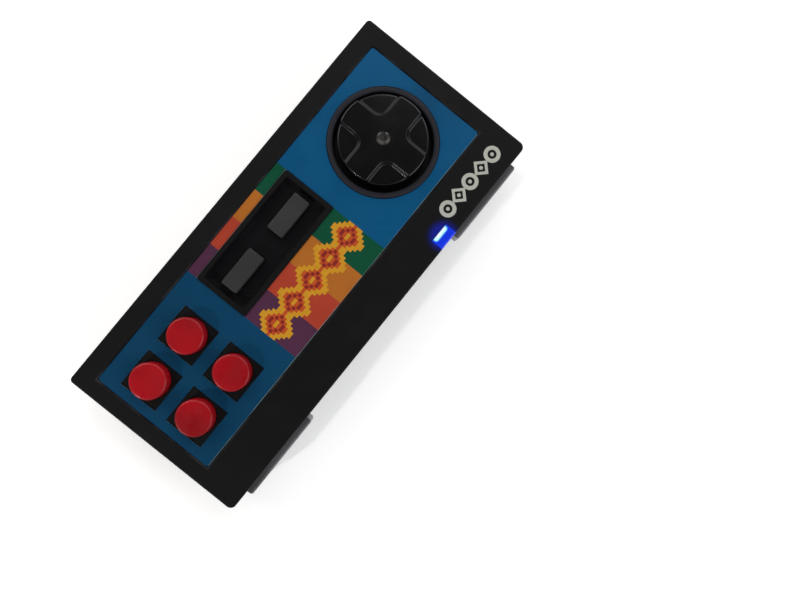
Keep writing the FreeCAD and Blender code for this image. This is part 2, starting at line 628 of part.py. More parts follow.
# ---------------------------------------------------------------- face label
def face_label():
    g = LABEL_GAP
    x0, x1, y0, y1 = LABEL_BOX
    top = RECESS_Z + LABEL_THICKNESS
    label = rounded_block(x0 + g, x1 - g, y0 + g, y1 - g, RECESS_Z, top, LABEL_CORNER_R)
    label = label.cut(rod(PAD_X, PAD_Y, RECESS_Z - CUT, FACE, COLLAR_R + g))
    a, b, c, d = pocket_outline()
    label = label.cut(rounded_block(a - g, b + g, c - g, d + g, RECESS_Z - CUT, FACE, POCKET_CORNER_R + g))
    for x, y in ACTION_BUTTONS.values():
        label = label.cut(block(x, y, ACTION_WINDOW, ACTION_WINDOW, RECESS_Z - CUT, FACE))
    return label


# ---------------------------------------------------------------- direction pad
def direction_pad():
    disc = rod(PAD_X, PAD_Y, PAD_FLANGE_BOTTOM, PAD_TOP, PAD_R)
    disc = rounded(disc, edges_at(disc, PAD_TOP), PAD_EDGE_R)
    flange = rod(PAD_X, PAD_Y, PAD_FLANGE_BOTTOM, PAD_FLANGE_TOP, PAD_FLANGE_R)
    pad = disc.fuse(flange)

    # Each lowered quarter starts at the arms and runs out over the disc's rim.
    half, far = ARM_WIDTH / 2, PAD_R + 2 * CUT
    for turn in range(4):
        low = half + QUARTER_SLOPE
        floor_z = PAD_TOP - QUARTER_DEPTH
        top_r = QUARTER_CORNER_R + QUARTER_SLOPE
        lower = rounded_wire(low, far, low, far, floor_z, [QUARTER_CORNER_R] * 4)
        upper = rounded_wire(half, far + QUARTER_SLOPE, half, far + QUARTER_SLOPE, PAD_TOP, [top_r] * 4)
        quarter = Part.makeLoft([lower, upper], True, True)
        lid = Part.Face(upper).extrude(V(0, 0, CUT))
        for cutter in (quarter, lid):
            cutter.rotate(V(0, 0, 0), V(0, 0, 1), 90 * turn)
            cutter.translate(V(PAD_X, PAD_Y, 0))
            pad = pad.cut(cutter)

    # Finger dimple in the middle.
    dimple_ball = (DIMPLE_R**2 + DIMPLE_DEPTH**2) / (2 * DIMPLE_DEPTH)
    pad = pad.cut(Part.makeSphere(dimple_ball, V(PAD_X, PAD_Y, PAD_TOP - DIMPLE_DEPTH + dimple_ball)))

    # Hollow underside, with a hub for the ball and a foot over each dome.
    hollow_top = PAD_TOP - QUARTER_DEPTH - PAD_SKIN
    pad = pad.cut(rod(PAD_X, PAD_Y, PAD_FLANGE_BOTTOM - CUT, hollow_top, PAD_R - PAD_SKIN))
    inside = [rod(PAD_X, PAD_Y, HUB_Z, hollow_top + OVERLAP, PAD_HUB_R)]
    for x, y in pad_feet():
        inside.append(rod(x, y, PAD_FOOT_Z, hollow_top + OVERLAP, PAD_FOOT_R))
    pad = join([pad] + inside)
    return pad.cut(Part.makeSphere(SOCKET_R, V(PAD_X, PAD_Y, BALL_Z)))


def pad_feet():
    r = PAD_FOOT_CIRCLE_R
    return [(PAD_X + r * i, PAD_Y + r * j) for i, j in ((1, 0), (0, 1), (-1, 0), (0, -1))]


# ---------------------------------------------------------------- push buttons
def small_outline(x, gap, z0, z1):
    hx, hy = SMALL_BUTTON_LENGTH / 2 + gap, SMALL_BUTTON_WIDTH / 2 + gap
    r = SMALL_BUTTON_CORNER_R + gap
    return rounded_block(x - hx, x + hx, POCKET_Y - hy, POCKET_Y + hy, z0, z1, r)


def small_button(x):
    flange_bottom = SMALL_FLANGE_TOP - SMALL_FLANGE_T
    cap = small_outline(x, 0, flange_bottom, SMALL_TOP)
    cap = rounded(cap, edges_at(cap, SMALL_TOP), SMALL_BUTTON_EDGE_R)
    flange = small_outline(x, FLANGE_LIP, flange_bottom, SMALL_FLANGE_TOP)
    foot = rod(x, POCKET_Y, SMALL_FOOT_Z, SMALL_FLANGE_TOP, SMALL_FOOT_R)
    return join([cap, flange, foot])


def action_button(x, y):
    cap = rod(x, y, ACTION_FLANGE_BOTTOM, ACTION_TOP, ACTION_CAP_R)
    cap = rounded(cap, edges_at(cap, ACTION_TOP), ACTION_EDGE_R)
    flange = rod(x, y, ACTION_FLANGE_BOTTOM, ACTION_FLANGE_TOP, ACTION_FLANGE_R)
    reach = ACTION_FLANGE_R + KEY_LENGTH
    key = block(x + reach / 2, y, reach, KEY_WIDTH, ACTION_FLANGE_BOTTOM, ACTION_FLANGE_TOP)
    foot = rod(x, y, ACTION_FOOT_Z, ACTION_FLANGE_BOTTOM + OVERLAP, ACTION_FOOT_R)
    return join([cap, flange, key, foot])


# ---------------------------------------------------------------- silicone membranes
def membrane(sheet, domes, foot_z):
    """A sheet with a hollow dome under each button's foot."""
    top = foot_z - DOME_GAP
    for x, y in domes:
        base_r = DOME_BASE_R
        cone = [(0, BOARD_TOP), (base_r, BOARD_TOP), (base_r, SHEET_TOP), (DOME_TOP_R, top), (0, top)]
        sheet = sheet.fuse(turned(cone, x, y))
    for x, y in domes:
        inner_top = top - DOME_CROWN
        hollow = [
            (0, BOARD_TOP - CUT),
            (DOME_BASE_R - DOME_WALL, BOARD_TOP - CUT),
            (DOME_BASE_R - DOME_WALL, BOARD_TOP),
            (DOME_TOP_R - DOME_WALL, inner_top),
            (0, inner_top),
        ]
        sheet = sheet.cut(turned(hollow, x, y))
    return sheet.removeSplitter()


def pad_membrane():
    sheet = rod(PAD_X, PAD_Y, BOARD_TOP, SHEET_TOP, PAD_FOOT_CIRCLE_R + DOME_BASE_R + SHEET_MARGIN)
    sheet = sheet.cut(rod(PAD_X, PAD_Y, BOARD_TOP - CUT, SHEET_TOP + CUT, POST_R + MEMBRANE_T))
    bay_x, bay_y = -BAY_END - PAD_BAY_GAP, BAY_FRONT - BAY_WALL - PAD_BAY_GAP
    sheet = sheet.cut(box(bay_x, RIGHT, bay_y, BACK, BOARD_TOP - CUT, SHEET_TOP + CUT))
    return membrane(sheet, pad_feet(), PAD_FOOT_Z)


def small_membrane():
    hy = DOME_BASE_R + SHEET_MARGIN
    hx = SMALL_BUTTON_PITCH / 2 + hy
    sheet = rounded_block(
        POCKET_X - hx, POCKET_X + hx, POCKET_Y - hy, POCKET_Y + hy, BOARD_TOP, SHEET_TOP, SHEET_CORNER_R
    )
    return membrane(sheet, [(x, POCKET_Y) for x in SMALL_BUTTONS.values()], SMALL_FOOT_Z)


def action_membrane():
    hx = ACTION_PITCH_X / 2 + DOME_BASE_R + SHEET_MARGIN
    hy = ACTION_PITCH_Y / 2 + DOME_BASE_R + SHEET_MARGIN
    sheet = rounded_block(
        ACTION_X - hx, ACTION_X + hx, ACTION_Y - hy, ACTION_Y + hy, BOARD_TOP, SHEET_TOP, SHEET_CORNER_R
    )
    return membrane(sheet, list(ACTION_BUTTONS.values()), ACTION_FOOT_Z)


# ---------------------------------------------------------------- shoulder buttons
def shoulder_button():
    """The right one. It turns on a vertical pin at its inner end."""
    z0, z1 = SHOULDER_BOTTOM, SHOULDER_TOP
    back, tip = SHOULDER_FLANGE_Y - SHOULDER_FLANGE_T, BACK + SHOULDER_STAND
    plate = box(SHOULDER_IN, SHOULDER_OUT, back, tip, z0, z1)
    front_edges = [e for e in plate.Edges if e.BoundBox.YMin > tip - 1e-6]
    plate = rounded(plate, front_edges, SHOULDER_CORNER_R)
    # The flange is longer and taller than the slot, but not near the hinge.
    flange_end = SHOULDER_OUT + SHOULDER_END_GAP + SHOULDER_FLANGE_LIP
    flange = box(HINGE_X, flange_end, back, SHOULDER_FLANGE_Y, z0, z1)
    lip = SHOULDER_GAP + SHOULDER_FLANGE_LIP
    tall_start = HINGE_X + KNUCKLE_R + SHOULDER_FLANGE_T
    tall = box(tall_start, SHOULDER_OUT, back, SHOULDER_FLANGE_Y, z0 - lip, z1 + lip)
    knuckle = rod(HINGE_X, HINGE_Y, z0, z1, KNUCKLE_R)
    rib_x = (SWITCH_X - RIB_HALF_WIDTH, SWITCH_X + RIB_HALF_WIDTH)
    rib_z = (SHOULDER_MID_Z - RIB_HALF_HEIGHT, SHOULDER_MID_Z + RIB_HALF_HEIGHT)
    rib = box(*rib_x, RIB_TIP, back + OVERLAP, *rib_z)
    button = join([plate, flange, tall, knuckle, rib])
    return button.cut(rod(HINGE_X, HINGE_Y, z0 - CUT, z1 + CUT, PIN_R + RUNNING_GAP)).removeSplitter()


def shoulder_pins():
    pin = rod(HINGE_X, HINGE_Y, FLOOR + PIN_SEAT, CEILING - PIN_HEAD_GAP, PIN_R)
    return Part.makeCompound(both_sides(pin))


def shoulder_switch():
    body = box(
        SWITCH_X - SWITCH_LENGTH / 2,
        SWITCH_X + SWITCH_LENGTH / 2,
        SWITCH_BACK - SWITCH_DEPTH,
        SWITCH_BACK,
        BOARD_TOP,
        SHOULDER_MID_Z + PLUNGER_R + SWITCH_COVER,
    )
    mouth = V(SWITCH_X, SWITCH_BACK - PLUNGER_WELL, SHOULDER_MID_Z)
    well = Part.makeCylinder(PLUNGER_R + RUNNING_GAP, PLUNGER_WELL + CUT, mouth, V(0, 1, 0))
    return body.cut(well)


def switch_plunger():
    start = SWITCH_BACK - PLUNGER_WELL + PLUNGER_SEAT
    return Part.makeCylinder(PLUNGER_R, PLUNGER_TIP - start, V(SWITCH_X, start, SHOULDER_MID_Z), V(0, 1, 0))


# ---------------------------------------------------------------- status light
def light_pipe():
    half = LIGHT_WIDTH / 2
    head = box(LIGHT_X - half, LIGHT_X + half, LIGHT_FRONT, BACK, LIGHT_BOTTOM, FACE)
    outer = [e for e in edges_at(head, FACE) if abs(e.BoundBox.YMin - BACK) < 1e-6]
    head = rounded(head, outer, FACE_EDGE_R)
    half = LED_LENGTH / 2
    x0, x1, leg_back = LIGHT_X - half, LIGHT_X + half, IN_BACK - PIPE_WALL_GAP
    leg_bottom = BOARD_TOP + LED_HEIGHT + LED_GAP
    leg = box(x0, x1, LIGHT_FRONT, leg_back, leg_bottom, LIGHT_BOTTOM + OVERLAP)
    foot = box(x0, x1, LED_Y - LED_WIDTH / 2, leg_back, leg_bottom, leg_bottom + PIPE_FOOT)
    return join([head, leg, foot])


def status_led():
    body = block(LIGHT_X, LED_Y, LED_LENGTH, LED_WIDTH, BOARD_TOP, BOARD_TOP + LED_HEIGHT)
    return rounded(body, edges_at(body, BOARD_TOP + LED_HEIGHT), LED_EDGE_R)


# ---------------------------------------------------------------- board
def main_board():
    g = BOARD_GAP
    board = box(IN_LEFT + g, IN_RIGHT - g, IN_FRONT + g, BOARD_BACK, BOARD_BOTTOM, BOARD_TOP)
    tab = box(
        LIGHT_X - 2.4, LIGHT_X + 4.0, BOARD_BACK - 1.0, IN_BACK - BOARD_GAP, BOARD_BOTTOM, BOARD_TOP
    )
    board = join([board, tab])
    z0, z1 = BOARD_BOTTOM - CUT, BOARD_TOP + CUT
    bay, bay_front = BAY_END + BOARD_BAY_GAP, BAY_FRONT - BAY_WALL - BOARD_BAY_GAP
    board = board.cut(box(-bay, bay, bay_front, BACK, z0, z1))
    clear, run = BOSS_R + BOARD_BOSS_GAP, NOTCH_RUN
    # A square notch around each boss runs out to the board's nearest edges.
    for x, y, open_x, open_y in CASE_SCREWS:
        x0, x1 = x - clear - run * (open_x < 0), x + clear + run * (open_x > 0)
        y0, y1 = y - clear - run * (open_y < 0), y + clear + run * (open_y > 0)
        board = board.cut(box(x0, x1, y0, y1, z0, z1))
    for x, y in BOARD_SCREWS:
        board = board.cut(rod(x, y, z0, z1, BOARD_SCREW_R + OVERLAP))
    board = board.cut(rod(PAD_X, PAD_Y, z0, z1, POST_R + 0.5))
    return board.removeSplitter()


def chips():
    """Parts soldered under the board, each as (node, shape)."""
    top = BOARD_BOTTOM

    def under(x, y, length, width, height):
        return block(x, y, length, width, top - height, top)

    module = under(PAD_X - 7.0, PAD_Y + 14.0, 14.0, 11.0, 0.8)
    can_x, can_y = PAD_X - 8.0, PAD_Y + 14.0
    can = rounded_block(can_x - 5.5, can_x + 5.5, can_y - 4.8, can_y + 4.8, top - 2.4, top - 0.8, 0.6)
    chip = under(POCKET_X, POCKET_Y, 7.0, 7.0, 1.0)
    legs = []
    for i in range(8):
        offset = (i - 3.5) * 0.8
        legs.append(under(POCKET_X + offset, POCKET_Y, 0.35, 9.0, 0.3))
        legs.append(under(POCKET_X, POCKET_Y + offset, 9.0, 0.35, 0.3))
    crystal = rounded_block(
        POCKET_X + 10.0, POCKET_X + 20.0, POCKET_Y - 2.2, POCKET_Y + 2.2, top - 3.2, top, 2.0
    )
    coil = under(ACTION_X - 6.0, ACTION_Y - 6.0, 5.0, 5.0, 3.0)
    core = rod(ACTION_X - 6.0, ACTION_Y - 6.0, top - 3.4, top - 3.0, 2.0)
    caps = [under(ACTION_X + dx, ACTION_Y - 6.0, 1.6, 3.2, 1.2) for dx in (0.0, 3.0, 6.0, 9.0)]
    return [
        ("radio_module", join([module, can])),
        ("controller_chip", join([chip] + legs)),
        ("clock_crystal", crystal),
        ("power_inductor", join([coil, core])),
        ("capacitors", Part.makeCompound(caps)),
    ]


# ---------------------------------------------------------------- batteries
def cell(y, way):
    """An AAA cell. way is +1 where its positive nub points to +X."""
    nub_end = way * (BAY_HALF - CONTACT_T - DIMPLE_CONTACT - SEAT_GAP)
    base = nub_end - way * CELL_LENGTH
    shoulder = nub_end - way * NUB_LENGTH
    can = Part.makeCylinder(CELL_R, abs(shoulder - base), V(base, y, CELL_Z), V(way, 0, 0))
    rims = [e for e in can.Edges if e.Curve.TypeId == "Part::GeomCircle"]
    can = rounded(can, rims, CELL_RIM_R)
    nub = Part.makeCylinder(NUB_R, NUB_LENGTH + OVERLAP, V(shoulder - way * OVERLAP, y, CELL_Z), V(way, 0, 0))
    return join([can, nub])


def spring_leaf(y, way):
    """A bent leaf that presses on a cell's flat end. way points out to the bay's end wall."""
    wall_x = way * (BAY_HALF - CONTACT_T)
    tip_x = way * (BAY_HALF - CONTACT_T - SPRING_REACH)
    low, high = CELL_Z - 3.6, CELL_Z + 3.4
    root_x, thick = wall_x + CONTACT_T * way / 2, 0.4 * way
    outline = [
        (root_x, low),
        (tip_x, CELL_Z),
        (tip_x + 4 * thick, high),
        (tip_x + 5 * thick, high),
        (tip_x + thick, CELL_Z),
        (root_x, low + 0.5),
    ]
    points = [V(x, y - LEAF_WIDTH / 2, z) for x, z in outline]
    return Part.Face(Part.makePolygon(points + points[:1])).extrude(V(0, LEAF_WIDTH, 0))


def contact_plate(y0, y1, way):
    x = way * (BAY_HALF - CONTACT_T)
    return box(min(x, way * BAY_HALF), max(x, way * BAY_HALF), y0, y1, CELL_Z - 4.2, CELL_Z + 4.2)


def dimple_contact(y, way):
    start = way * (BAY_HALF - CONTACT_T - DIMPLE_CONTACT)
    length = DIMPLE_CONTACT + CONTACT_T / 2
    return Part.makeCylinder(DIMPLE_CONTACT_R, length, V(start, y, CELL_Z), V(way, 0, 0))


def tail_place(cell_name):
    y, way = CELLS[cell_name]
    return y + way * TAIL_OFFSET


def contact_tail(y):
    length = 2 * (BAY_WALL + RUNNING_GAP)
    return block(BAY_END - RUNNING_GAP, y, length, TAIL_WIDTH, TAIL_Z, TAIL_Z + CONTACT_T)


def battery_contacts():
    (front_y, _), (back_y, _) = CELLS["cell_front"], CELLS["cell_back"]
    plus = join([
        contact_plate(front_y - PLATE_HALF, front_y + PLATE_HALF, 1),
        dimple_contact(front_y, 1),
        contact_tail(tail_place("cell_front")),
    ])
    minus = join([
        contact_plate(back_y - PLATE_HALF, back_y + PLATE_HALF, 1),
        spring_leaf(back_y, 1),
        contact_tail(tail_place("cell_back")),
    ])
    bridge = join([
        contact_plate(front_y - PLATE_HALF, back_y + PLATE_HALF, -1),
        spring_leaf(front_y, -1),
        dimple_contact(back_y, -1),
    ])
    return [
        ("battery_contact_positive", plus),
        ("battery_contact_negative", minus),
        ("battery_contact_bridge", bridge),
    ]


def battery_door():
    door = box(-DOOR_HALF, DOOR_HALF, DOOR_AXIS_Y, DOOR_BACK, 0, DOOR_T)
    edge = Part.makeCylinder(DOOR_T / 2, 2 * DOOR_HALF, V(-DOOR_HALF, DOOR_AXIS_Y, DOOR_AXIS_Z), V(1, 0, 0))
    reach = DOOR_HALF + DOOR_PIN_LENGTH
    pin = Part.makeCylinder(DOOR_PIN_R, 2 * reach, V(-reach, DOOR_AXIS_Y, DOOR_AXIS_Z), V(1, 0, 0))
    door = join([door, edge, pin])
    # Grip grooves at the latch end.
    for i in range(GRIP_COUNT):
        y = DOOR_BACK - GRIP_FROM_EDGE - GRIP_PITCH * i
        door = door.cut(block(0, y, GRIP_LENGTH, GRIP_WIDTH, -CUT, GRIP_DEPTH))
    return door


# ---------------------------------------------------------------- wires
def wire_tube(points, r):
    """Straight runs joined by tangent arcs, each as large as its two runs allow."""
    points = [V(*p) for p in points]
    edges, start, radii = [], points[0], []
    for before, here, after in zip(points, points[1:], points[2:]):
        into, out = (here - before), (after - here)
        run = 0.45 * min(into.Length, out.Length)
        into.normalize()
        out.normalize()
        turn = into.getAngle(out)
        radius = run / math.tan(turn / 2)
        first, last = here - into * run, here + out * run
        inward = out - into
        inward.normalize()
        middle = here + inward * (radius / math.cos(turn / 2) - radius)
        edges.append(Part.LineSegment(start, first).toShape())
        edges.append(Part.Arc(first, middle, last).toShape())
        radii.append(round(radius, 2))
        start = last
    edges.append(Part.LineSegment(start, points[-1]).toShape())
    path = Part.Wire(edges)
    section = Part.Wire(Part.makeCircle(r, points[0], points[1] - points[0]))
    tube = path.makePipeShell([section], True, True)
    expected = math.pi * r * r * path.Length
    print(f"wire: bend radii {radii}, volume over section times length {tube.Volume / expected:.4f}")
    return tube


def battery_wire(cell_name):
    """From a contact's tail to a pad on the board."""
    x0, y0 = BAY_END + BAY_WALL + 0.3, tail_place(cell_name)
    z0 = TAIL_Z + CONTACT_T / 2
    return wire_tube(
        [
            (x0, y0, z0),
            (x0 + 3.2, y0 + 0.8, z0 + 1.2),
            (x0 + 7.0, y0 + 2.6, z0 + 0.9),
            (x0 + 9.4, y0 + 4.0, BOARD_TOP + WIRE_R + 0.05),
        ],
        WIRE_R,
    )


# ---------------------------------------------------------------- power switch
def power_switch():
    length, width, height = POWER_BODY
    x, y = POWER_X + POWER_TRAVEL / 2, POWER_Y
    under = BOARD_BOTTOM - height
    body = block(x, y, length, width, under, BOARD_BOTTOM)
    knob_x, knob_y = POWER_KNOB
    slot = block(x, y, knob_x + POWER_TRAVEL + 0.3, knob_y + 0.2, under - CUT, BOARD_BOTTOM - 1.2)
    knob = block(POWER_X, y, knob_x, knob_y, POWER_INSET, BOARD_BOTTOM - 1.6)
    return [("power_switch_body", body.cut(slot)), ("power_switch_knob", knob)]


# ---------------------------------------------------------------- screws
def screw(x, y, head_top, head, r, length):
    """A cross-recessed screw that points up. head is its radius and thickness."""
    head_r, head_t = head
    z0 = head_top - head_t
    piece = rod(x, y, z0, head_top, head_r)
    piece = rounded(piece, edges_at(piece, z0), head_t / 3)
    piece = join([piece, rod(x, y, head_top, head_top + length, r)])
    arm, bar = head_r, head_r / 4
    for size in ((arm, bar), (bar, arm)):
        piece = piece.cut(block(x, y, size[0], size[1], z0 - CUT, z0 + head_t / 3))
    return piece


def case_screws():
    top, head = COUNTERBORE_DEPTH - SEAT_GAP, (CASE_HEAD_R, CASE_HEAD_T)
    length = CASE_SCREW_LENGTH
    return Part.makeCompound([screw(x, y, top, head, CASE_SCREW_R, length) for x, y, _, _ in CASE_SCREWS])


def board_screws():
    top, head = BOARD_BOTTOM - SEAT_GAP, (BOARD_HEAD_R, BOARD_HEAD_T)
    length = BOARD_SCREW_LENGTH
    return Part.makeCompound([screw(x, y, top, head, BOARD_SCREW_R, length) for x, y in BOARD_SCREWS])


# ---------------------------------------------------------------- all the pieces
def main():
    os.makedirs("parts", exist_ok=True)
    save("top_shell", top_shell())
    save("bottom_shell", bottom_shell())
    save("face_label", face_label())
    save("dpad", direction_pad())
    save("dpad_pivot_ball", Part.makeSphere(BALL_R, V(PAD_X, PAD_Y, BALL_Z)))
    save("dpad_membrane", pad_membrane())
    for node, x in SMALL_BUTTONS.items():
        save(node, small_button(x))
    save("select_start_membrane", small_membrane())
    for node, (x, y) in ACTION_BUTTONS.items():
        save(node, action_button(x, y))
    save("action_membrane", action_membrane())
    for make, node in (
        (shoulder_button, "shoulder_button"),
        (shoulder_switch, "shoulder_switch"),
        (switch_plunger, "switch_plunger"),
    ):
        right = make()
        save(f"right_{node}", right)
        save(f"left_{node}", mirrored(right))
    save("shoulder_pins", shoulder_pins())
    save("light_pipe", light_pipe())
    save("status_led", status_led())
    save("main_board", main_board())
    for node, shape in chips() + battery_contacts() + power_switch():
        save(node, shape)
    for node, (y, way) in CELLS.items():
        save(node, cell(y, way))
    save("battery_door", battery_door())
    save("battery_wire_red", battery_wire("cell_front"))
    save("battery_wire_black", battery_wire("cell_back"))
    save("case_screws", case_screws())
    save("board_screws", board_screws())


main()
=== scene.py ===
"""Looks of a compact retro-style wireless game pad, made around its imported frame.

Everything is in metres, in the frame's own axes: the origin is the centre of the flat
underside, +Z points up out of the face, +X to the player's right, +Y to the back edge.
"""

import json
import math

import bmesh
import bpy
import numpy as np
from bpy.props import FloatProperty, FloatVectorProperty, IntProperty, PointerProperty
from mathutils import Euler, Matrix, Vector


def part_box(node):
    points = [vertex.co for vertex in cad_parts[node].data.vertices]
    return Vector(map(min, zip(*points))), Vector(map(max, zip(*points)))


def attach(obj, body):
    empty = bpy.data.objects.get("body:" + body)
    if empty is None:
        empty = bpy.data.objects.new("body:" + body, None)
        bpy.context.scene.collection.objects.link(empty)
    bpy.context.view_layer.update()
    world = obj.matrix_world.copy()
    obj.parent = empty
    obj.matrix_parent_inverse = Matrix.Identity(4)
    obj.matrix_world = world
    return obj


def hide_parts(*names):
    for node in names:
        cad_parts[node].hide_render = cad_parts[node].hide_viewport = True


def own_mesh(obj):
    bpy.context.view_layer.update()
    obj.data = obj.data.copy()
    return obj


bl_info = {
    "name": "Retro Game Pad",
    "version": (1, 0, 0),
    "blender": (4, 5, 0),
    "location": "View3D > Sidebar > Game Pad",
    "description": "Surfaces, prints and finishes of a wireless game pad around its frame",
    "category": "Object",
}

MM = 0.001

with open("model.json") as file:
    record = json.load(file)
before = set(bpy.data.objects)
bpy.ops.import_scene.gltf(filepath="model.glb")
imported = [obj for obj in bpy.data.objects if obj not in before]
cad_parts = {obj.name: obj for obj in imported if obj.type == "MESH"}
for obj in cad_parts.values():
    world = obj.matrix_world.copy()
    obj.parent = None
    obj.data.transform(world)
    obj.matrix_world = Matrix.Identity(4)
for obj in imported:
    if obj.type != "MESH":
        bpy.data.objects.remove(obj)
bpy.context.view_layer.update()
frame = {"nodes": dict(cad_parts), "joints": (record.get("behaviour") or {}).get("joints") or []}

FACE_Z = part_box("top_shell")[1].z
LABEL_LOW, LABEL_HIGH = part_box("face_label")
PAD_LOW, PAD_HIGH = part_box("dpad")
LIGHT_LOW, LIGHT_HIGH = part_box("light_pipe")
ACTION_BODIES = ("action_front_left", "action_front_right", "action_back_left", "action_back_right")
POCKET_BODIES = ("select", "start")
SIDES = {"left": (-1, 0), "right": (1, 0), "front": (0, -1), "back": (0, 1)}
JOINTS = {joint["name"]: joint for joint in frame["joints"]}


def middle(node):
    """Centre of a node's box in plan."""
    low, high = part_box(node)
    return (low.x + high.x) / 2, (low.y + high.y) / 2


PAD_X, PAD_Y = middle("dpad")
POCKET_X = (middle("select_button")[0] + middle("start_button")[0]) / 2
POCKET_Y = middle("select_button")[1]


# ---------------------------------------------------------------- settings
def length(name, description, millimetres):
    """A size that is given in millimetres and kept in metres."""
    return FloatProperty(
        name=name, description=description, default=millimetres * MM, unit="LENGTH", precision=5
    )


def colour(name, description, red, green, blue):
    """A display colour from 0 to 255 a channel."""
    default = (red / 255, green / 255, blue / 255)
    return FloatVectorProperty(
        name=name, description=description, default=default, subtype="COLOR_GAMMA", min=0, max=1
    )


def amount(name, description, default, unit="NONE"):
    """A plain value, or one with a unit."""
    return FloatProperty(name=name, description=description, default=default, unit=unit)


class PadSettings(bpy.types.PropertyGroup):
    """Direction pad."""

    disc_radius: length("Disc radius", "Radius of the disc that the thumb rests on", 13.0)
    edge_radius: length("Edge radius", "Rounding of the disc's rim", 0.5)
    arm_width: length("Arm width", "Width of each of the four arms", 7.3)
    quarter_depth: length("Quarter depth", "How far each quarter lies under the arms", 1.2)
    quarter_slope: length("Quarter slope", "Plan width of the slope down to a quarter", 0.8)
    corner_radius: length("Corner radius", "Rounding of a quarter's inner corner, at its top", 3.3)
    dimple_radius: length("Dimple radius", "Radius of the finger dimple in the middle", 1.9)
    dimple_depth: length("Dimple depth", "Depth of the finger dimple", 0.5)
    skin: length("Skin", "Thickness of the hollow pad's skin", 1.5)
    flange_thickness: length("Flange thickness", "Thickness of the flange under the case's face", 1.2)
    foot_length: length("Foot length", "How far the feet reach under the flange", 0.6)
    foot_crown: length("Foot crown", "Radius of the crowned end of a foot", 10.0)
    tint: colour("Pad colour", "Gloss black of the pad", 7, 7, 8)
    # The dimple's grey is a painted reflection in its hollow.
    rubbed: colour("Rubbed dimple", "Dull grey of the dimple", 50, 48, 46)
    around: IntProperty(name="Steps around", description="Grid steps around the disc", default=504)


class ButtonSettings(bpy.types.PropertyGroup):
    """Action buttons, pocket buttons and shoulder buttons."""

    cap_radius: length("Cap radius", "Radius of an action button's cap", 5.25)
    cap_edge: length("Cap edge", "Rounding of an action button's rim", 0.7)
    cap_dish: length("Cap dish", "How far an action button's top dips in the middle", 0.12)
    flange: length("Flange", "Thickness of an action button's flange", 1.2)
    foot_length: length("Foot", "How far an action button's foot reaches under its flange", 1.5)
    key_width: length("Key width", "Width of the tab that stops a button from turning", 1.6)
    bar_length: length("Bar length", "Length of a pocket button", 12.8)
    bar_width: length("Bar width", "Width of a pocket button", 5.3)
    bar_corner: length("Bar corner", "Corner radius of a pocket button", 0.5)
    bar_edge: length("Bar edge", "Rounding of a pocket button's rim", 0.35)
    bar_flange: length("Bar flange", "Thickness of a pocket button's flange", 1.0)
    bar_foot: length("Bar foot", "How far a pocket button's foot reaches under its flange", 1.1)
    red: colour("Cap colour", "Red of the action buttons", 166, 14, 25)
    red_worn: colour("Cap wear", "Paler red of rubbed places", 180, 44, 52)
    grey: colour("Bar colour", "Grey of the pocket buttons", 48, 48, 49)
    grey_worn: colour("Bar wear", "Paler grey of rubbed edges", 84, 84, 84)
    shoulder: colour("Shoulder colour", "Grey black of the shoulder buttons", 106, 106, 109)
    shoulder_worn: colour("Shoulder wear", "Rubbed edge of the shoulder buttons", 124, 124, 126)


class PrintSettings(bpy.types.PropertyGroup):
    """Printed label and the printed ornaments."""

    blue: colour("Ground blue", "Blue ground of the label", 0, 80, 124)
    # A painted shade: the darker blue that the ground fades to at the action buttons' end.
    shaded_blue: colour("Far blue", "Blue ground at the action buttons' end", 2, 61, 94)
    green: colour("Green stripe", "First stripe", 6, 74, 50)
    orange: colour("Orange stripe", "Second stripe", 174, 102, 36)
    vermilion: colour("Vermilion stripe", "Third stripe", 170, 62, 42)
    purple: colour("Purple stripe", "Fourth stripe", 78, 42, 66)
    # Also painted along the label's front and back edges, where it is partly a painted highlight.
    film: colour("Film", "Bare edge of the label's plastic film", 112, 132, 134)
    outline: colour("Ornament outline", "Yellow outline of the stepped ornament", 202, 144, 36)
    fill: colour("Ornament fill", "Orange fill of the stepped ornament", 184, 76, 34)
    core: colour("Ornament core", "Brick red core of the stepped ornament", 132, 38, 34)
    cream: colour("Face mark", "Cream ink of the ring ornament", 178, 179, 170)
    cell: length("Ornament cell", "Side of one square cell of the stepped ornament", 1.0)
    ink: length("Ink thickness", "How far printed ink stands proud", 0.03)
    ornament_y: length("Ornament place", "Middle of the stepped ornament, along the face", 5.8)
    columns: IntProperty(name="Columns", description="Cells along the ornament", default=40)
    rows: IntProperty(name="Rows", description="Cells across the ornament", default=11)
    period: IntProperty(name="Period", description="Cells from one lozenge to the next", default=8)
    mark_x: length("Mark start", "Left end of the ring ornament", -61.3)
    mark_y: length("Mark place", "Middle of the ring ornament, along the face", 23.1)
    mark_pitch: length("Mark pitch", "From one ring to the next", 5.1)
    mark_half: length("Mark half height", "Half the height of a ring", 2.75)
    mark_stroke: length("Mark stroke", "Width of the ring ornament's line", 1.15)


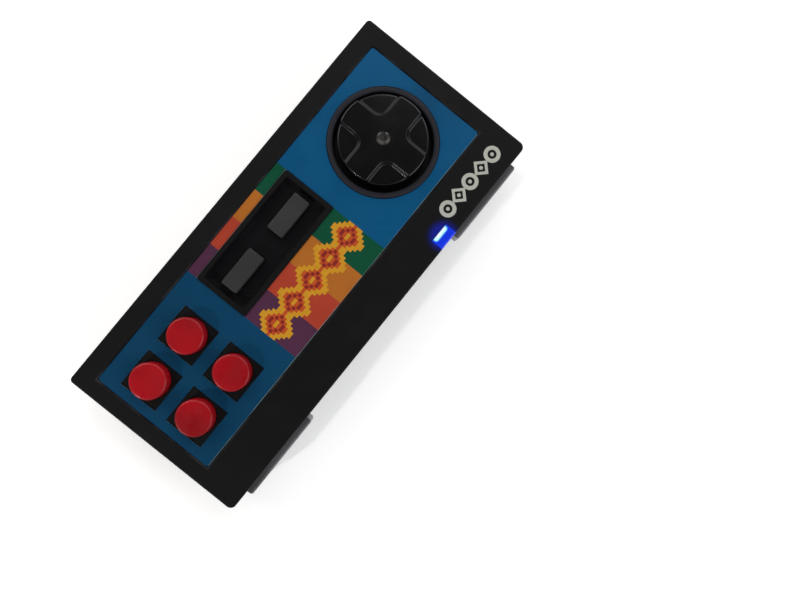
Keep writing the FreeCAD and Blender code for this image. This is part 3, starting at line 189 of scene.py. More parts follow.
class CaseSettings(bpy.types.PropertyGroup):
    """Moulded case and what is inside it."""

    black: colour("Case colour", "Matt black of the case", 12, 12, 14)
    # This colour paints the case's edge wear, and also the highlight painted along the edge of the label's
    # recess.
    rubbed: colour("Case wear", "Rubbed edges of the case", 50, 50, 54)
    dust: colour("Dust", "Dust that lies in corners and on top", 92, 90, 88)
    glow: colour("Glow", "Blue light that spreads around the status light", 0, 40, 255)
    core: colour("Light core", "Near part of the status light", 150, 250, 255)
    rib_pitch: length("Light ribs", "From one fine rib of the status light to the next", 0.62)
    far: colour("Light end", "Far part of the status light", 6, 50, 232)
    # The collar's radii also bound the highlight painted on its top.
    collar_inner: length("Collar inside", "Inner radius of the direction pad's collar", 14.45)
    collar_outer: length("Collar outside", "Outer radius of the direction pad's collar", 16.28)
    pocket_length: length("Pocket length", "Length of the pocket over its lips", 39.9)
    pocket_width: length("Pocket width", "Width of the pocket over its lips", 17.4)
    pocket_lip: length("Pocket lip", "Width of the pocket's flat lip", 1.3)
    board: colour("Solder mask", "Green of the circuit board", 14, 78, 44)
    copper: colour("Covered copper", "Tracks under the solder mask", 30, 116, 66)
    silicone: colour("Silicone", "Translucent grey membranes", 176, 178, 176)
    wrap: colour("Cell wrap", "Dark wrap of the cells", 34, 38, 44)
    band: colour("Cell band", "Coppery band of the cells", 176, 104, 52)


class StageSettings(bpy.types.PropertyGroup):
    """Floor, lights and camera."""

    floor_size: FloatProperty(name="Floor size", description="Side of the floor", default=6.0, unit="LENGTH")
    floor_tint: colour("Floor colour", "Pale plain floor", 250, 250, 250)
    eye: FloatVectorProperty(
        name="Camera place",
        description="Camera from the middle of the face",
        default=(-1.95 * MM, 27.13 * MM, 175.63 * MM),
        subtype="TRANSLATION",
    )
    turn: FloatVectorProperty(
        name="Camera turn",
        description="Camera's turn about X, Y and Z",
        default=(math.radians(1.469), math.radians(-1.9), math.radians(128.886)),
        subtype="EULER",
    )
    lens: FloatProperty(name="Lens", description="Focal length in millimetres", default=27.72, min=1)
    key: amount("Left light", "Power of the soft light on the left", 2.6, "POWER")
    fill: amount("Front and back lights", "Power of each soft light at the front and the back", 2.3, "POWER")
    rim: amount("Right light", "Power of the small light on the right", 1.25, "POWER")


class GamePadSettings(bpy.types.PropertyGroup):
    """All the settings of the game pad."""

    pad: PointerProperty(type=PadSettings, name="Pad", description="Direction pad")
    buttons: PointerProperty(type=ButtonSettings, name="Buttons", description="All the other buttons")
    print: PointerProperty(type=PrintSettings, name="Print", description="Label and ornaments")
    case: PointerProperty(type=CaseSettings, name="Case", description="Case and what is inside it")
    stage: PointerProperty(type=StageSettings, name="Stage", description="Floor, lights and camera")


# ---------------------------------------------------------------- surfaces
def shell_faces(rows, columns, around_rows=False):
    """Quads of a grid whose columns run round and meet. around_rows also joins its last row to its first."""
    i = np.arange(rows if around_rows else rows - 1)[:, None] * columns
    j = np.arange(columns)[None, :]
    below, above = i, (i + columns) % (rows * columns)
    nxt = (j + 1) % columns
    return np.stack([below + j, below + nxt, above + nxt, above + j], axis=-1).reshape(-1, 4)


def make_piece(name, parts, smooth_angle=40.0):
    """One mesh object from (points, faces) parts, with doubles merged and normals turned outwards.

    Edges that turn by less than smooth_angle degrees shade smooth.
    """
    mesh = bpy.data.meshes.new(name)
    sizes = [len(points) for points, _ in parts]
    starts = np.cumsum([0] + sizes[:-1])
    points = np.concatenate([points for points, _ in parts])
    faces = np.concatenate([faces + start for (_, faces), start in zip(parts, starts)])
    mesh.from_pydata(points.tolist(), [], faces.tolist())
    work = bmesh.new()
    work.from_mesh(mesh)
    bmesh.ops.remove_doubles(work, verts=work.verts, dist=1e-7)
    bmesh.ops.dissolve_degenerate(work, edges=work.edges, dist=1e-8)
    bmesh.ops.recalc_face_normals(work, faces=work.faces)
    work.to_mesh(mesh)
    work.free()
    mesh.shade_smooth()
    mesh.set_sharp_from_angle(angle=math.radians(smooth_angle))
    piece = bpy.data.objects.new(name, mesh)
    bpy.context.scene.collection.objects.link(piece)
    return piece


def lathe(profile, x, y, steps, lift=None):
    """Point (r, z) of the profile at angle a lies at (x + r cos a, y + r sin a, z).

    lift may change the heights.
    """
    profile = np.array(profile, float)
    a = np.arange(steps) * (2 * np.pi / steps)
    r, z = profile[:, :1], np.repeat(profile[:, 1:2], steps, axis=1)
    px, py = r * np.cos(a), r * np.sin(a)
    if lift is not None:
        z = z + lift(px, py)
    points = np.stack([x + px, y + py, z], axis=-1).reshape(-1, 3)
    return points, shell_faces(len(profile), steps)


def bar_outline(half_x, half_y, r, corner_steps=10):
    """Rounded rectangle: a quarter circle of radius r about each corner's own centre."""
    a = np.linspace(0, np.pi / 2, corner_steps)[None, :] + np.arange(4)[:, None] * (np.pi / 2)
    sign_x = np.array([1, -1, -1, 1])[:, None]
    sign_y = np.array([1, 1, -1, -1])[:, None]
    px = sign_x * (half_x - r) + r * np.cos(a)
    py = sign_y * (half_y - r) + r * np.sin(a)
    return np.stack([px.ravel(), py.ravel()], axis=-1)


def bar(x, y, half_x, half_y, corner, rows):
    """A bar from rows of (outset, scale, z).

    Each row is the rounded outline grown by outset, then scaled about its middle.
    """
    loops = []
    for outset, scale, z in rows:
        r = max(corner + outset, 0.02 * MM)
        outline = bar_outline(half_x + outset, half_y + outset, r) * scale
        loops.append(np.column_stack([outline + (x, y), np.full(len(outline), z)]))
    return np.concatenate(loops), shell_faces(len(rows), len(loops[0]))


def arc(r0, z0, radius, start, end, steps=8):
    """Points (r, z) of an arc about (r0, z0), with its angles in degrees from the r axis."""
    a = np.radians(np.linspace(start, end, steps))
    return np.column_stack([r0 + radius * np.cos(a), z0 + radius * np.sin(a)]).tolist()


def block_part(x0, x1, y0, y1, z0, z1):
    """A closed box as a bar with sharp corners."""
    half_x, half_y = (x1 - x0) / 2, (y1 - y0) / 2
    rows = [(0, 0, z0), (0, 1, z0), (0, 1, z1), (0, 0, z1)]
    return bar((x0 + x1) / 2, (y0 + y1) / 2, half_x, half_y, 0.1 * MM, rows)


def print_ring(x, y, half, power, stroke, z0, z1, steps=96):
    """A flat ring whose outline is |x|^power + |y|^power = half^power: 2 is round and 1 is a lozenge."""
    a = np.arange(steps) * (2 * np.pi / steps)
    unit = (np.abs(np.cos(a)) ** power + np.abs(np.sin(a)) ** power) ** (-1 / power)
    loops = []
    for radius, z in ((half - stroke, z0), (half, z0), (half, z1), (half - stroke, z1)):
        reach = radius * unit
        loops.append(np.column_stack([x + reach * np.cos(a), y + reach * np.sin(a), np.full(steps, z)]))
    return np.concatenate(loops), shell_faces(4, steps, around_rows=True)


def cells_part(filled, x0, y0, cell, z0, z1):
    """A closed slab over each filled square of a grid.

    It has a top, a bottom, and a wall wherever the next square is empty.
    """
    padded = np.pad(filled, 1)
    quads = []
    column, row = np.nonzero(filled)
    left, low = x0 + column * cell, y0 + row * cell
    corners = ((0, 0), (1, 0), (1, 1), (0, 1))
    for z in (z0, z1):
        level = np.full(len(left), z)
        quads.append([np.column_stack([left + i * cell, low + j * cell, level]) for i, j in corners])
    for side in range(4):
        (i0, j0), (i1, j1) = corners[side], corners[(side + 1) % 4]
        step = ((0, -1), (1, 0), (0, 1), (-1, 0))[side]
        bare = ~padded[column + 1 + step[0], row + 1 + step[1]]
        ends = [(left[bare] + i * cell, low[bare] + j * cell) for i, j in ((i0, j0), (i1, j1))]
        wall = []
        for (ex, ey), z in ((ends[0], z0), (ends[1], z0), (ends[1], z1), (ends[0], z1)):
            wall.append(np.column_stack([ex, ey, np.full(len(ex), z)]))
        quads.append(wall)
    points = np.concatenate([np.stack(q, axis=1).reshape(-1, 3) for q in quads])
    return points, np.arange(len(points)).reshape(-1, 4)


# ---------------------------------------------------------------- nodes
def linear(shown):
    """Scene colour of a display colour."""
    c = np.array(shown[:3], float)
    c = np.where(c <= 0.04045, c / 12.92, ((c + 0.055) / 1.055) ** 2.4)
    return (*c.tolist(), 1.0)


def shade(tint, share):
    """A display colour with each channel multiplied by share."""
    return [channel * share for channel in tint]


class Nodes:
    """Short calls that add nodes to one tree. A value may be a number, a colour or another node's output."""

    def __init__(self, tree):
        self.tree = tree

    def add(self, kind, inputs=None, **settings):
        node = self.tree.nodes.new(kind)
        for key, value in settings.items():
            setattr(node, key, value)
        for key, value in (inputs or {}).items():
            self.put(node.inputs[key], value)
        return node

    def put(self, socket, value):
        if isinstance(value, bpy.types.NodeSocket):
            self.tree.links.new(value, socket)
        else:
            socket.default_value = value

    def math(self, operation, a, b=0.0, clamp=False):
        return self.add("ShaderNodeMath", {0: a, 1: b}, operation=operation, use_clamp=clamp).outputs[0]

    def ramp(self, value, low, high, start=0.0, end=1.0):
        """Smooth step from start at low to end at high."""
        inputs = {"Value": value, "From Min": low, "From Max": high, "To Min": start, "To Max": end}
        return self.add("ShaderNodeMapRange", inputs, interpolation_type="SMOOTHSTEP").outputs["Result"]

    def between(self, value, low, high, soft):
        """1 between low and high, 0 outside, with soft edges."""
        rise = self.ramp(value, low - soft, low + soft)
        fall = self.ramp(value, high - soft, high + soft, 1.0, 0.0)
        return self.math("MULTIPLY", rise, fall)

    def mix(self, mask, a, b):
        """Colour a where the mask is 0, and b where it is 1."""
        node = self.add("ShaderNodeMix", {0: mask, 6: a, 7: b}, data_type="RGBA")
        return node.outputs[2]

    def mix_value(self, mask, a, b):
        return self.add("ShaderNodeMix", {0: mask, 2: a, 3: b}).outputs[0]

    def place(self):
        return self.add("ShaderNodeTexCoord").outputs["Object"]

    def axes(self):
        """Object coordinates as three values."""
        return self.add("ShaderNodeSeparateXYZ", {0: self.place()}).outputs

    def noise(self, scale, detail=2.0, stretch=(1.0, 1.0, 1.0)):
        """Noise with that many waves a metre, stretched along the axes."""
        where = self.add("ShaderNodeMapping", {"Vector": self.place(), "Scale": stretch}).outputs[0]
        inputs = {"Vector": where, "Scale": scale, "Detail": detail}
        return self.add("ShaderNodeTexNoise", inputs).outputs["Fac"]

    def distance(self, x, y):
        """Distance in plan from a place."""
        px, py, _ = self.axes()
        return self.hypot(self.math("SUBTRACT", px, x), self.math("SUBTRACT", py, y))

    def hypot(self, a, b):
        """Square root of a squared plus b squared."""
        squares = self.math("ADD", self.math("POWER", a, 2.0), self.math("POWER", b, 2.0))
        return self.math("SQRT", squares)

    def off(self, a, b):
        """How far a is from b, on either side."""
        return self.math("ABSOLUTE", self.math("SUBTRACT", a, b))

    def upward(self):
        """How much a surface faces up, from -1 to 1."""
        normal = self.add("ShaderNodeNewGeometry").outputs["Normal"]
        return self.add("ShaderNodeSeparateXYZ", {0: normal}).outputs[2]


def effect(name, inputs, outputs, build):
    """A node group that is built once. inputs are (name, default) values; outputs are (name, socket type)."""
    tree = bpy.data.node_groups.get(name)
    if tree:
        return tree
    tree = bpy.data.node_groups.new(name, "ShaderNodeTree")
    for label, default in inputs:
        socket = tree.interface.new_socket(label, in_out="INPUT", socket_type="NodeSocketFloat")
        socket.default_value = default
    for label, kind in outputs:
        tree.interface.new_socket(label, in_out="OUTPUT", socket_type=kind)
    nodes = Nodes(tree)
    given = nodes.add("NodeGroupInput").outputs
    end = nodes.add("NodeGroupOutput")
    for label, value in build(nodes, given).items():
        nodes.put(end.inputs[label], value)
    return tree


def mould_grain():
    """Fine spark-eroded grain, and large faint blotches where the skin cooled unevenly."""

    def build(n, given):
        grain = n.noise(given["Grain Scale"], 3.0)
        blotch = n.noise(given["Blotch Scale"], 2.0)
        return {"Height": grain, "Blotch": n.ramp(blotch, 0.3, 0.7)}

    outputs = [("Height", "NodeSocketFloat"), ("Blotch", "NodeSocketFloat")]
    return effect("Mould Grain", [("Grain Scale", 6000.0), ("Blotch Scale", 60.0)], outputs, build)


def edge_wear():
    """Rubbed edges: where a rounded normal leaves the true one, broken up by noise.

    It also gives that normal.
    """

    def build(n, given):
        soft = n.add("ShaderNodeBevel", {"Radius": given["Radius"]}, samples=4).outputs["Normal"]
        true = n.add("ShaderNodeNewGeometry").outputs["Normal"]
        same = n.add("ShaderNodeVectorMath", {0: soft, 1: true}, operation="DOT_PRODUCT").outputs["Value"]
        edge = n.math("MULTIPLY", n.math("SUBTRACT", 1.0, same), given["Amount"])
        broken = n.ramp(n.noise(given["Break Scale"], 3.0), 0.3, 0.7, 0.35, 1.3)
        return {"Mask": n.math("MULTIPLY", edge, broken, clamp=True), "Normal": soft}

    inputs = [("Radius", 0.2 * MM), ("Amount", 3.0), ("Break Scale", 700.0)]
    outputs = [("Mask", "NodeSocketFloat"), ("Normal", "NodeSocketVector")]
    return effect("Edge Wear", inputs, outputs, build)


def fine_dust():
    """Specks and a thin film of dust on whatever faces up."""

    def build(n, given):
        top = n.ramp(n.upward(), 0.3, 0.95)
        specks = n.ramp(n.noise(given["Speck Scale"], 1.0), 0.7, 0.76)
        film = n.ramp(n.noise(90.0, 4.0), 0.45, 0.8, 0.0, 0.35)
        both = n.math("MAXIMUM", specks, film)
        return {"Mask": n.math("MULTIPLY", n.math("MULTIPLY", both, top), given["Amount"], clamp=True)}

    inputs = [("Amount", 0.2), ("Speck Scale", 2200.0)]
    return effect("Fine Dust", inputs, [("Mask", "NodeSocketFloat")], build)


def hairlines():
    """Faint scratches: thin crests of noise that is drawn out along a slant, in two directions."""

    def build(n, given):
        lines = []
        for slant in (0.5, -0.9):
            turn = n.add("ShaderNodeMapping", {"Vector": n.place(), "Rotation": (0.0, 0.0, slant)}).outputs[0]
            drawn = n.add("ShaderNodeMapping", {"Vector": turn, "Scale": (0.04, 1.0, 1.0)}).outputs[0]
            wave = n.add("ShaderNodeTexNoise", {"Vector": drawn, "Scale": given["Scale"], "Detail": 1.0})
            lines.append(n.ramp(wave.outputs["Fac"], 0.68, 0.72))
        patches = n.ramp(n.noise(120.0, 1.0), 0.45, 0.6)
        return {"Mask": n.math("MULTIPLY", n.math("MAXIMUM", *lines), patches)}

    return effect("Hairlines", [("Scale", 2500.0)], [("Mask", "NodeSocketFloat")], build)


class Finish:
    """A material in the making: one Principled shader, and layers of colour, roughness and relief."""

    def __init__(self, name, tint, roughness, **sockets):
        self.material = bpy.data.materials.new(name)
        self.material.use_nodes = True
        self.nodes = Nodes(self.material.node_tree)
        self.shader = self.material.node_tree.nodes["Principled BSDF"]
        self.colour = linear(tint)
        self.roughness = roughness
        self.height = None
        self.normal = None
        for label, value in sockets.items():
            self.shader.inputs[label.replace("_", " ")].default_value = value

    def effect(self, tree, **values):
        node = self.nodes.add("ShaderNodeGroup", node_tree=tree)
        for label, value in values.items():
            node.inputs[label.replace("_", " ")].default_value = value
        return node.outputs

    def paint(self, mask, tint):
        """Lays a colour over the mask."""
        self.colour = self.nodes.mix(mask, self.colour, linear(tint))
        return self

    def polish(self, mask, roughness):
        """Another roughness where the mask is."""
        self.roughness = self.nodes.mix_value(mask, self.roughness, roughness)
        return self

    def relief(self, height, depth):
        """Adds height, in metres for a full step of the mask."""
        step = self.nodes.math("MULTIPLY", height, depth)
        self.height = step if self.height is None else self.nodes.math("ADD", self.height, step)
        return self

    def glow(self, tint, strength):
        self.nodes.put(self.shader.inputs["Emission Color"], tint)
        self.shader.inputs["Emission Strength"].default_value = strength
        return self

    def done(self):
        self.nodes.put(self.shader.inputs["Base Color"], self.colour)
        self.nodes.put(self.shader.inputs["Roughness"], self.roughness)
        if self.height is not None:
            inputs = {"Height": self.height, "Distance": 1.0, "Strength": 1.0}
            bump = self.nodes.add("ShaderNodeBump", inputs)
            if self.normal is not None:
                self.nodes.put(bump.inputs["Normal"], self.normal)
            self.normal = bump.outputs["Normal"]
        if self.normal is not None:
            self.nodes.put(self.shader.inputs["Normal"], self.normal)
        return self.material


def moulded(name, tint, worn, roughness, grain=6000.0, depth=0.004 * MM, wear=3.0, radius=0.2 * MM,
            dust=0.15, **sockets):
    """Moulded plastic: grain, blotches, rubbed edges and a little dust."""
    made = Finish(name, tint, roughness, **sockets)
    skin = made.effect(mould_grain(), Grain_Scale=grain)
    edge = made.effect(edge_wear(), Amount=wear, Radius=radius)
    lying = made.effect(fine_dust(), Amount=dust)
    made.paint(skin["Blotch"], shade(tint, 0.82))
    made.paint(edge["Mask"], worn)
    made.paint(lying["Mask"], bpy.context.scene.game_pad.case.dust)
    made.polish(skin["Blotch"], min(roughness + 0.07, 1.0))
    made.polish(edge["Mask"], max(roughness - 0.12, 0.05))
    made.polish(lying["Mask"], 0.85)
    made.relief(skin["Height"], depth)
    made.normal = edge["Normal"]
    return made


def metal(name, tint, dark, roughness, brush=(1.0, 1.0, 1.0), scale=3000.0):
    """Bare metal: brushed noise in its colour, roughness and relief."""
    made = Finish(name, tint, roughness, Metallic=1.0)
    grain = made.nodes.noise(scale, 3.0, brush)
    stain = made.nodes.ramp(made.nodes.noise(160.0, 3.0), 0.45, 0.75)
    edge = made.effect(edge_wear(), Amount=2.0)
    made.paint(grain, shade(tint, 0.86))
    made.paint(stain, dark)
    made.polish(stain, min(roughness + 0.2, 1.0))
    made.relief(grain, 0.002 * MM)
    made.normal = edge["Normal"]
    return made


def dress(material, *names):
    """Gives CAD nodes the material in place of their own."""
    for name in names:
        slots = frame["nodes"][name].data.materials
        if not slots:
            slots.append(material)
        for i in range(len(slots)):
            slots[i] = material


def place_piece(piece, material, body, slot, *replaced):
    """Finishes a new piece: its material, the body it rides on and the nodes it stands for. slot is not used.
    """
    piece.data.materials.append(material)
    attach(piece, body)
    if replaced:
        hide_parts(*replaced)
    return piece


# ---------------------------------------------------------------- operators
class GAMEPAD_OT_stage(bpy.types.Operator):
    """Floor, soft lights, sky and camera"""

    bl_idname = "gamepad.stage"
    bl_label = "Stage"

    def execute(self, context):
        s = context.scene.game_pad.stage
        context.scene.view_settings.view_transform = "Standard"
        self.floor(s)
        # Each light: name, place, side, power and colour.
        lights = (
            ("soft_left", (-0.6, -0.1, 0.5), 0.7, s.key, (1.0, 1.0, 1.0)),
            ("soft_back", (-0.1, 0.62, 0.42), 0.55, s.fill, (0.97, 0.98, 1.0)),
            ("soft_front", (-0.08, -0.62, 0.42), 0.55, s.fill, (1.0, 0.94, 0.88)),
            ("small_right", (0.56, -0.1, 0.4), 0.035, s.rim, (1.0, 0.99, 0.97)),
        )
        for name, place, side, power, tint in lights:
            self.light(name, Vector(place), side, power, tint)
        self.sky(context)
        data = bpy.data.cameras.new("camera")
        data.lens, data.clip_start, data.clip_end = s.lens, 0.005, 50.0
        camera = bpy.data.objects.new("camera", data)
        camera.location = Vector(s.eye) + Vector((0, 0, FACE_Z))
        camera.rotation_euler = Euler(s.turn)
        context.scene.collection.objects.link(camera)
        context.scene.camera = camera
        return {"FINISHED"}

    def floor(self, s):
        """A flat square just under the case, which only the camera sees, and only from above."""
        half, z = s.floor_size / 2, -0.05 * MM
        mesh = bpy.data.meshes.new("floor")
        corners = [(-half, -half, z), (half, -half, z), (half, half, z), (-half, half, z)]
        mesh.from_pydata(corners, [], [(0, 1, 2, 3)])
        floor = bpy.data.objects.new("floor", mesh)
        bpy.context.scene.collection.objects.link(floor)
        material = bpy.data.materials.new("pale_floor")
        material.use_nodes = True
        n = Nodes(material.node_tree)
        paper = material.node_tree.nodes["Principled BSDF"]
        paper.inputs["Base Color"].default_value = linear(s.floor_tint)
        paper.inputs["Roughness"].default_value = 0.9
        paper.inputs["Specular IOR Level"].default_value = 0.1
        # The floor shines a little by itself, and more so far off, where the lights don't reach.
        glow = n.ramp(n.distance(0.0, 0.0), 0.25, 1.0, 0.34, 1.0)
        n.put(paper.inputs["Emission Color"], glow)
        paper.inputs["Emission Strength"].default_value = 1.0
        seen = n.add("ShaderNodeLightPath").outputs["Is Camera Ray"]
        back = n.add("ShaderNodeNewGeometry").outputs["Backfacing"]
        shown = n.math("MULTIPLY", seen, n.math("SUBTRACT", 1.0, back))
        clear = n.add("ShaderNodeBsdfTransparent").outputs[0]
        both = n.add("ShaderNodeMixShader", {0: shown, 1: clear, 2: paper.outputs[0]})
        n.put(material.node_tree.nodes["Material Output"].inputs["Surface"], both.outputs[0])
        mesh.materials.append(material)

    def light(self, name, place, side, power, tint):
        data = bpy.data.lights.new(name, "AREA")
        data.size, data.energy, data.color = side, power, tint
        light = bpy.data.objects.new(name, data)
        light.location = place
        light.rotation_euler = (-place).to_track_quat("-Z", "Y").to_euler()
        light.visible_camera = False
        bpy.context.scene.collection.objects.link(light)

    def sky(self, context):
        """White to look at. To everything else, dark overhead, grey at the sides and bright far below."""
        world = bpy.data.worlds.new("studio")
        context.scene.world = world
        world.use_nodes = True
        n = Nodes(world.node_tree)
        direction = n.add("ShaderNodeTexCoord").outputs["Generated"]
        up = n.add("ShaderNodeSeparateXYZ", {0: direction}).outputs[2]
        level = n.math("ADD", n.ramp(up, 0.25, 0.75, 0.5, 0.06), n.ramp(up, -0.6, -0.2, 0.9, 0.0))
        seen = n.add("ShaderNodeLightPath").outputs["Is Camera Ray"]
        strength = n.mix_value(seen, level, 1.0)
        n.put(world.node_tree.nodes["Background"].inputs["Strength"], strength)
        world.node_tree.nodes["Background"].inputs["Color"].default_value = (1.0, 1.0, 1.0, 1.0)


class GAMEPAD_OT_case(bpy.types.Operator):
    """Matt black shells and battery door"""

    bl_idname = "gamepad.case"
    bl_label = "Case"

    def execute(self, context):
        s = context.scene.game_pad.case
        shell = moulded("case_shell", s.black, s.rubbed, 0.5, wear=2.2, dust=0.07, Specular_IOR_Level=0.15)
        n = shell.nodes
        # The top of the pad's collar is painted 3.4 times lighter than the case: a painted highlight on the
        # rounded ring.
        from_pad = n.distance(PAD_X, PAD_Y)
        collar = n.between(from_pad, s.collar_inner - 0.1 * MM, s.collar_outer, 0.15 * MM)
        x, y, z = n.axes()
        high = n.ramp(z, FACE_Z - 0.4 * MM, FACE_Z - 0.1 * MM)
        shell.paint(n.math("MULTIPLY", collar, high), shade(s.black, 3.4))
        # The pocket's floor and slopes are smoother than the face. Its flat lip is painted darker, a painted
        # shade. Its inside is painted lighter, painted light against the shade that falls in the recess, and
        # this also covers the edge wear there.
        half_x, half_y = s.pocket_length / 2, s.pocket_width / 2
        lip = self.box_mask(n, x, y, half_x, half_y)
        inside = self.box_mask(n, x, y, half_x - s.pocket_lip, half_y - s.pocket_lip)
        shell.paint(lip, shade(s.black, 0.75))
        shell.paint(inside, shade(s.black, 1.35))
        shell.polish(inside, 0.34)
        # The edge of the label's recess is painted paler in broken patches, a painted highlight where the
        # edge catches the light.
        low, high = LABEL_LOW, LABEL_HIGH
        middle_x, middle_y = (low.x + high.x) / 2, (low.y + high.y) / 2
        away_x = n.math("SUBTRACT", n.off(x, middle_x), (high.x - low.x) / 2)
        away_y = n.math("SUBTRACT", n.off(y, middle_y), (high.y - low.y) / 2)
        away = n.math("MAXIMUM", away_x, away_y)
        near = n.between(away, 0.02 * MM, 0.5 * MM, 0.12 * MM)
        broken = n.ramp(n.noise(110.0, 3.0), 0.4, 0.62, 0.1, 0.85)
        shell.paint(n.math("MULTIPLY", near, broken), s.rubbed)
        # The case around the status light is made to glow faintly blue, a painted glow of the light spilling
        # onto it.
        light_x, light_y = middle("light_pipe")
        from_light = n.distance(light_x, light_y + 0.2 * MM)
        spread = n.ramp(from_light, 2.6 * MM, 6.2 * MM, 1.0, 0.0)
        halo = n.math("MULTIPLY", n.math("POWER", spread, 2.2), n.ramp(z, FACE_Z - 6 * MM, FACE_Z - 1 * MM))
        shell.glow(n.mix(halo, (0.0, 0.0, 0.0, 1.0), linear(s.glow)), 0.22)
        dress(shell.done(), "top_shell")
        base = moulded("case_base", s.black, s.rubbed, 0.58, 4500.0, 0.006 * MM, Specular_IOR_Level=0.22)
        marks = base.effect(hairlines())
        base.paint(marks["Mask"], shade(s.black, 2.2))
        dress(base.done(), "bottom_shell", "battery_door")
        return {"FINISHED"}

    def box_mask(self, n, x, y, half_x, half_y):
        """1 inside a rectangle about the pocket's middle."""
        in_x = n.between(x, POCKET_X - half_x, POCKET_X + half_x, 0.05 * MM)
        in_y = n.between(y, POCKET_Y - half_y, POCKET_Y + half_y, 0.05 * MM)
        return n.math("MULTIPLY", in_x, in_y)


class GAMEPAD_OT_label(bpy.types.Operator):
    """Printed label: blue ground, four stripes and a stepped ornament"""

    bl_idname = "gamepad.label"
    bl_label = "Label"

    def execute(self, context):
        s, case = context.scene.game_pad.print, context.scene.game_pad.case
        film = Finish("label_film", s.blue, 0.32, Specular_IOR_Level=0.12)
        n = film.nodes
        x, y, _ = n.axes()
        # The ground is painted darker towards the action buttons' end, a painted shade of the light falling
        # off to the right.
        film.paint(n.ramp(x, -30 * MM, 30 * MM), s.shaded_blue)
        # Four equal stripes over the length of the pocket under them.
        pocket_half = case.pocket_length / 2
        start, pitch = POCKET_X - pocket_half, pocket_half / 2
        for i, tint in enumerate((s.green, s.orange, s.vermilion, s.purple)):
            left = start + i * pitch
            film.paint(n.between(x, left, left + pitch, 0.04 * MM), tint)
        screen = n.noise(5200.0, 1.0)
        film.paint(n.ramp(screen, 0.35, 0.75, 0.0, 0.012), (1.0, 1.0, 1.0))
        film.paint(n.ramp(n.noise(45.0, 3.0), 0.4, 0.8, 0.0, 0.18), (0.02, 0.03, 0.05))
        film.paint(n.ramp(n.upward(), 0.5, 0.2), s.film)
        # A thin band along the film's edge in front of the pocket and along its back edge is painted in the
        # bare film's colour, in broken patches: the film's bare edge together with a painted highlight along
        # it.
        front = POCKET_Y - case.pocket_width / 2
        over_pocket = n.between(x, POCKET_X - pocket_half, POCKET_X + pocket_half, 0.05 * MM)
        trim = n.math("MULTIPLY", n.between(y, front - 0.2 * MM, front, 0.06 * MM), over_pocket)
        trim = n.math("MAXIMUM", trim, n.ramp(y, LABEL_HIGH.y - 0.26 * MM, LABEL_HIGH.y - 0.12 * MM))
        worn = n.ramp(n.noise(150.0, 3.0), 0.35, 0.65, 0.25, 0.8)
        film.paint(n.math("MULTIPLY", trim, worn), s.film)
        lines = film.effect(hairlines(), Scale=1800.0)
        film.polish(lines["Mask"], 0.5)
        film.polish(n.ramp(n.noise(70.0, 2.0), 0.4, 0.7), 0.26)
        film.relief(n.noise(1500.0, 2.0), 0.004 * MM)
        dress(film.done(), "face_label")
        self.ornament(s)
        return {"FINISHED"}

    def ornament(self, s):
        """Stepped lozenges in a chain.

        A cell's step count is its distance along plus its distance across from a lozenge's middle.
        """
        u = np.abs((np.arange(s.columns) - (s.columns - 1) / 2 + s.period / 2) % s.period - s.period / 2)
        v = np.abs(np.arange(s.rows) - (s.rows - 1) / 2)
        steps = u[:, None] + v[None, :]
        x0 = POCKET_X - s.columns * s.cell / 2
        y0 = s.ornament_y - s.rows * s.cell / 2
        layers = (
            ("ornament_outline", (steps > 4.2) & (steps < 5.8) | (steps < 1.2), s.outline),
            ("ornament_fill", (steps >= 3.2) & (steps <= 4.2) | (steps >= 1.2) & (steps < 2.0), s.fill),
            ("ornament_core", (steps >= 2.0) & (steps < 3.2), s.core),
        )
        for name, filled, tint in layers:
            part = cells_part(filled, x0, y0, s.cell, LABEL_HIGH.z - 0.5 * s.ink, LABEL_HIGH.z + s.ink)
            ink = Finish(name + "_ink", tint, 0.36, Specular_IOR_Level=0.2)
            patches = ink.nodes.ramp(ink.nodes.noise(2600.0, 2.0), 0.4, 0.8, 0.0, 0.35)
            ink.paint(patches, shade(tint, 0.7))
            ink.polish(ink.nodes.noise(400.0, 2.0), 0.5)
            ink.relief(ink.nodes.noise(3000.0, 1.0), 0.003 * MM)
            place_piece(make_piece(name, [part]), ink.done(), "case", "label_print")


class GAMEPAD_OT_face_mark(bpy.types.Operator):
    """Cream chain of rings and lozenges printed on the black face"""

    bl_idname = "gamepad.face_mark"
    bl_label = "Face mark"

    def execute(self, context):
        s = context.scene.game_pad.print
        z0, z1 = FACE_Z - 0.5 * s.ink, FACE_Z + s.ink
        parts = []
        for i in range(5):
            x = s.mark_x + s.mark_half + i * s.mark_pitch
            power, half = (2.0, s.mark_half * 0.9) if i % 2 == 0 else (1.0, s.mark_half)
            parts.append(print_ring(x, s.mark_y, half, power, s.mark_stroke, z0, z1))
            dot = [(0, z0), (0.55 * MM, z0), (0.55 * MM, z1), (0, z1)]
            parts.append(lathe(dot, x, s.mark_y, 32))
        ink = Finish("cream_ink", s.cream, 0.5, Specular_IOR_Level=0.3)
        n = ink.nodes
        ink.paint(n.ramp(n.noise(3800.0, 2.0), 0.55, 0.75, 0.0, 0.5), shade(s.cream, 0.6))
        ink.relief(n.noise(3000.0, 1.0), 0.004 * MM)
        place_piece(make_piece("face_mark", parts), ink.done(), "case", "label_print")
        return {"FINISHED"}


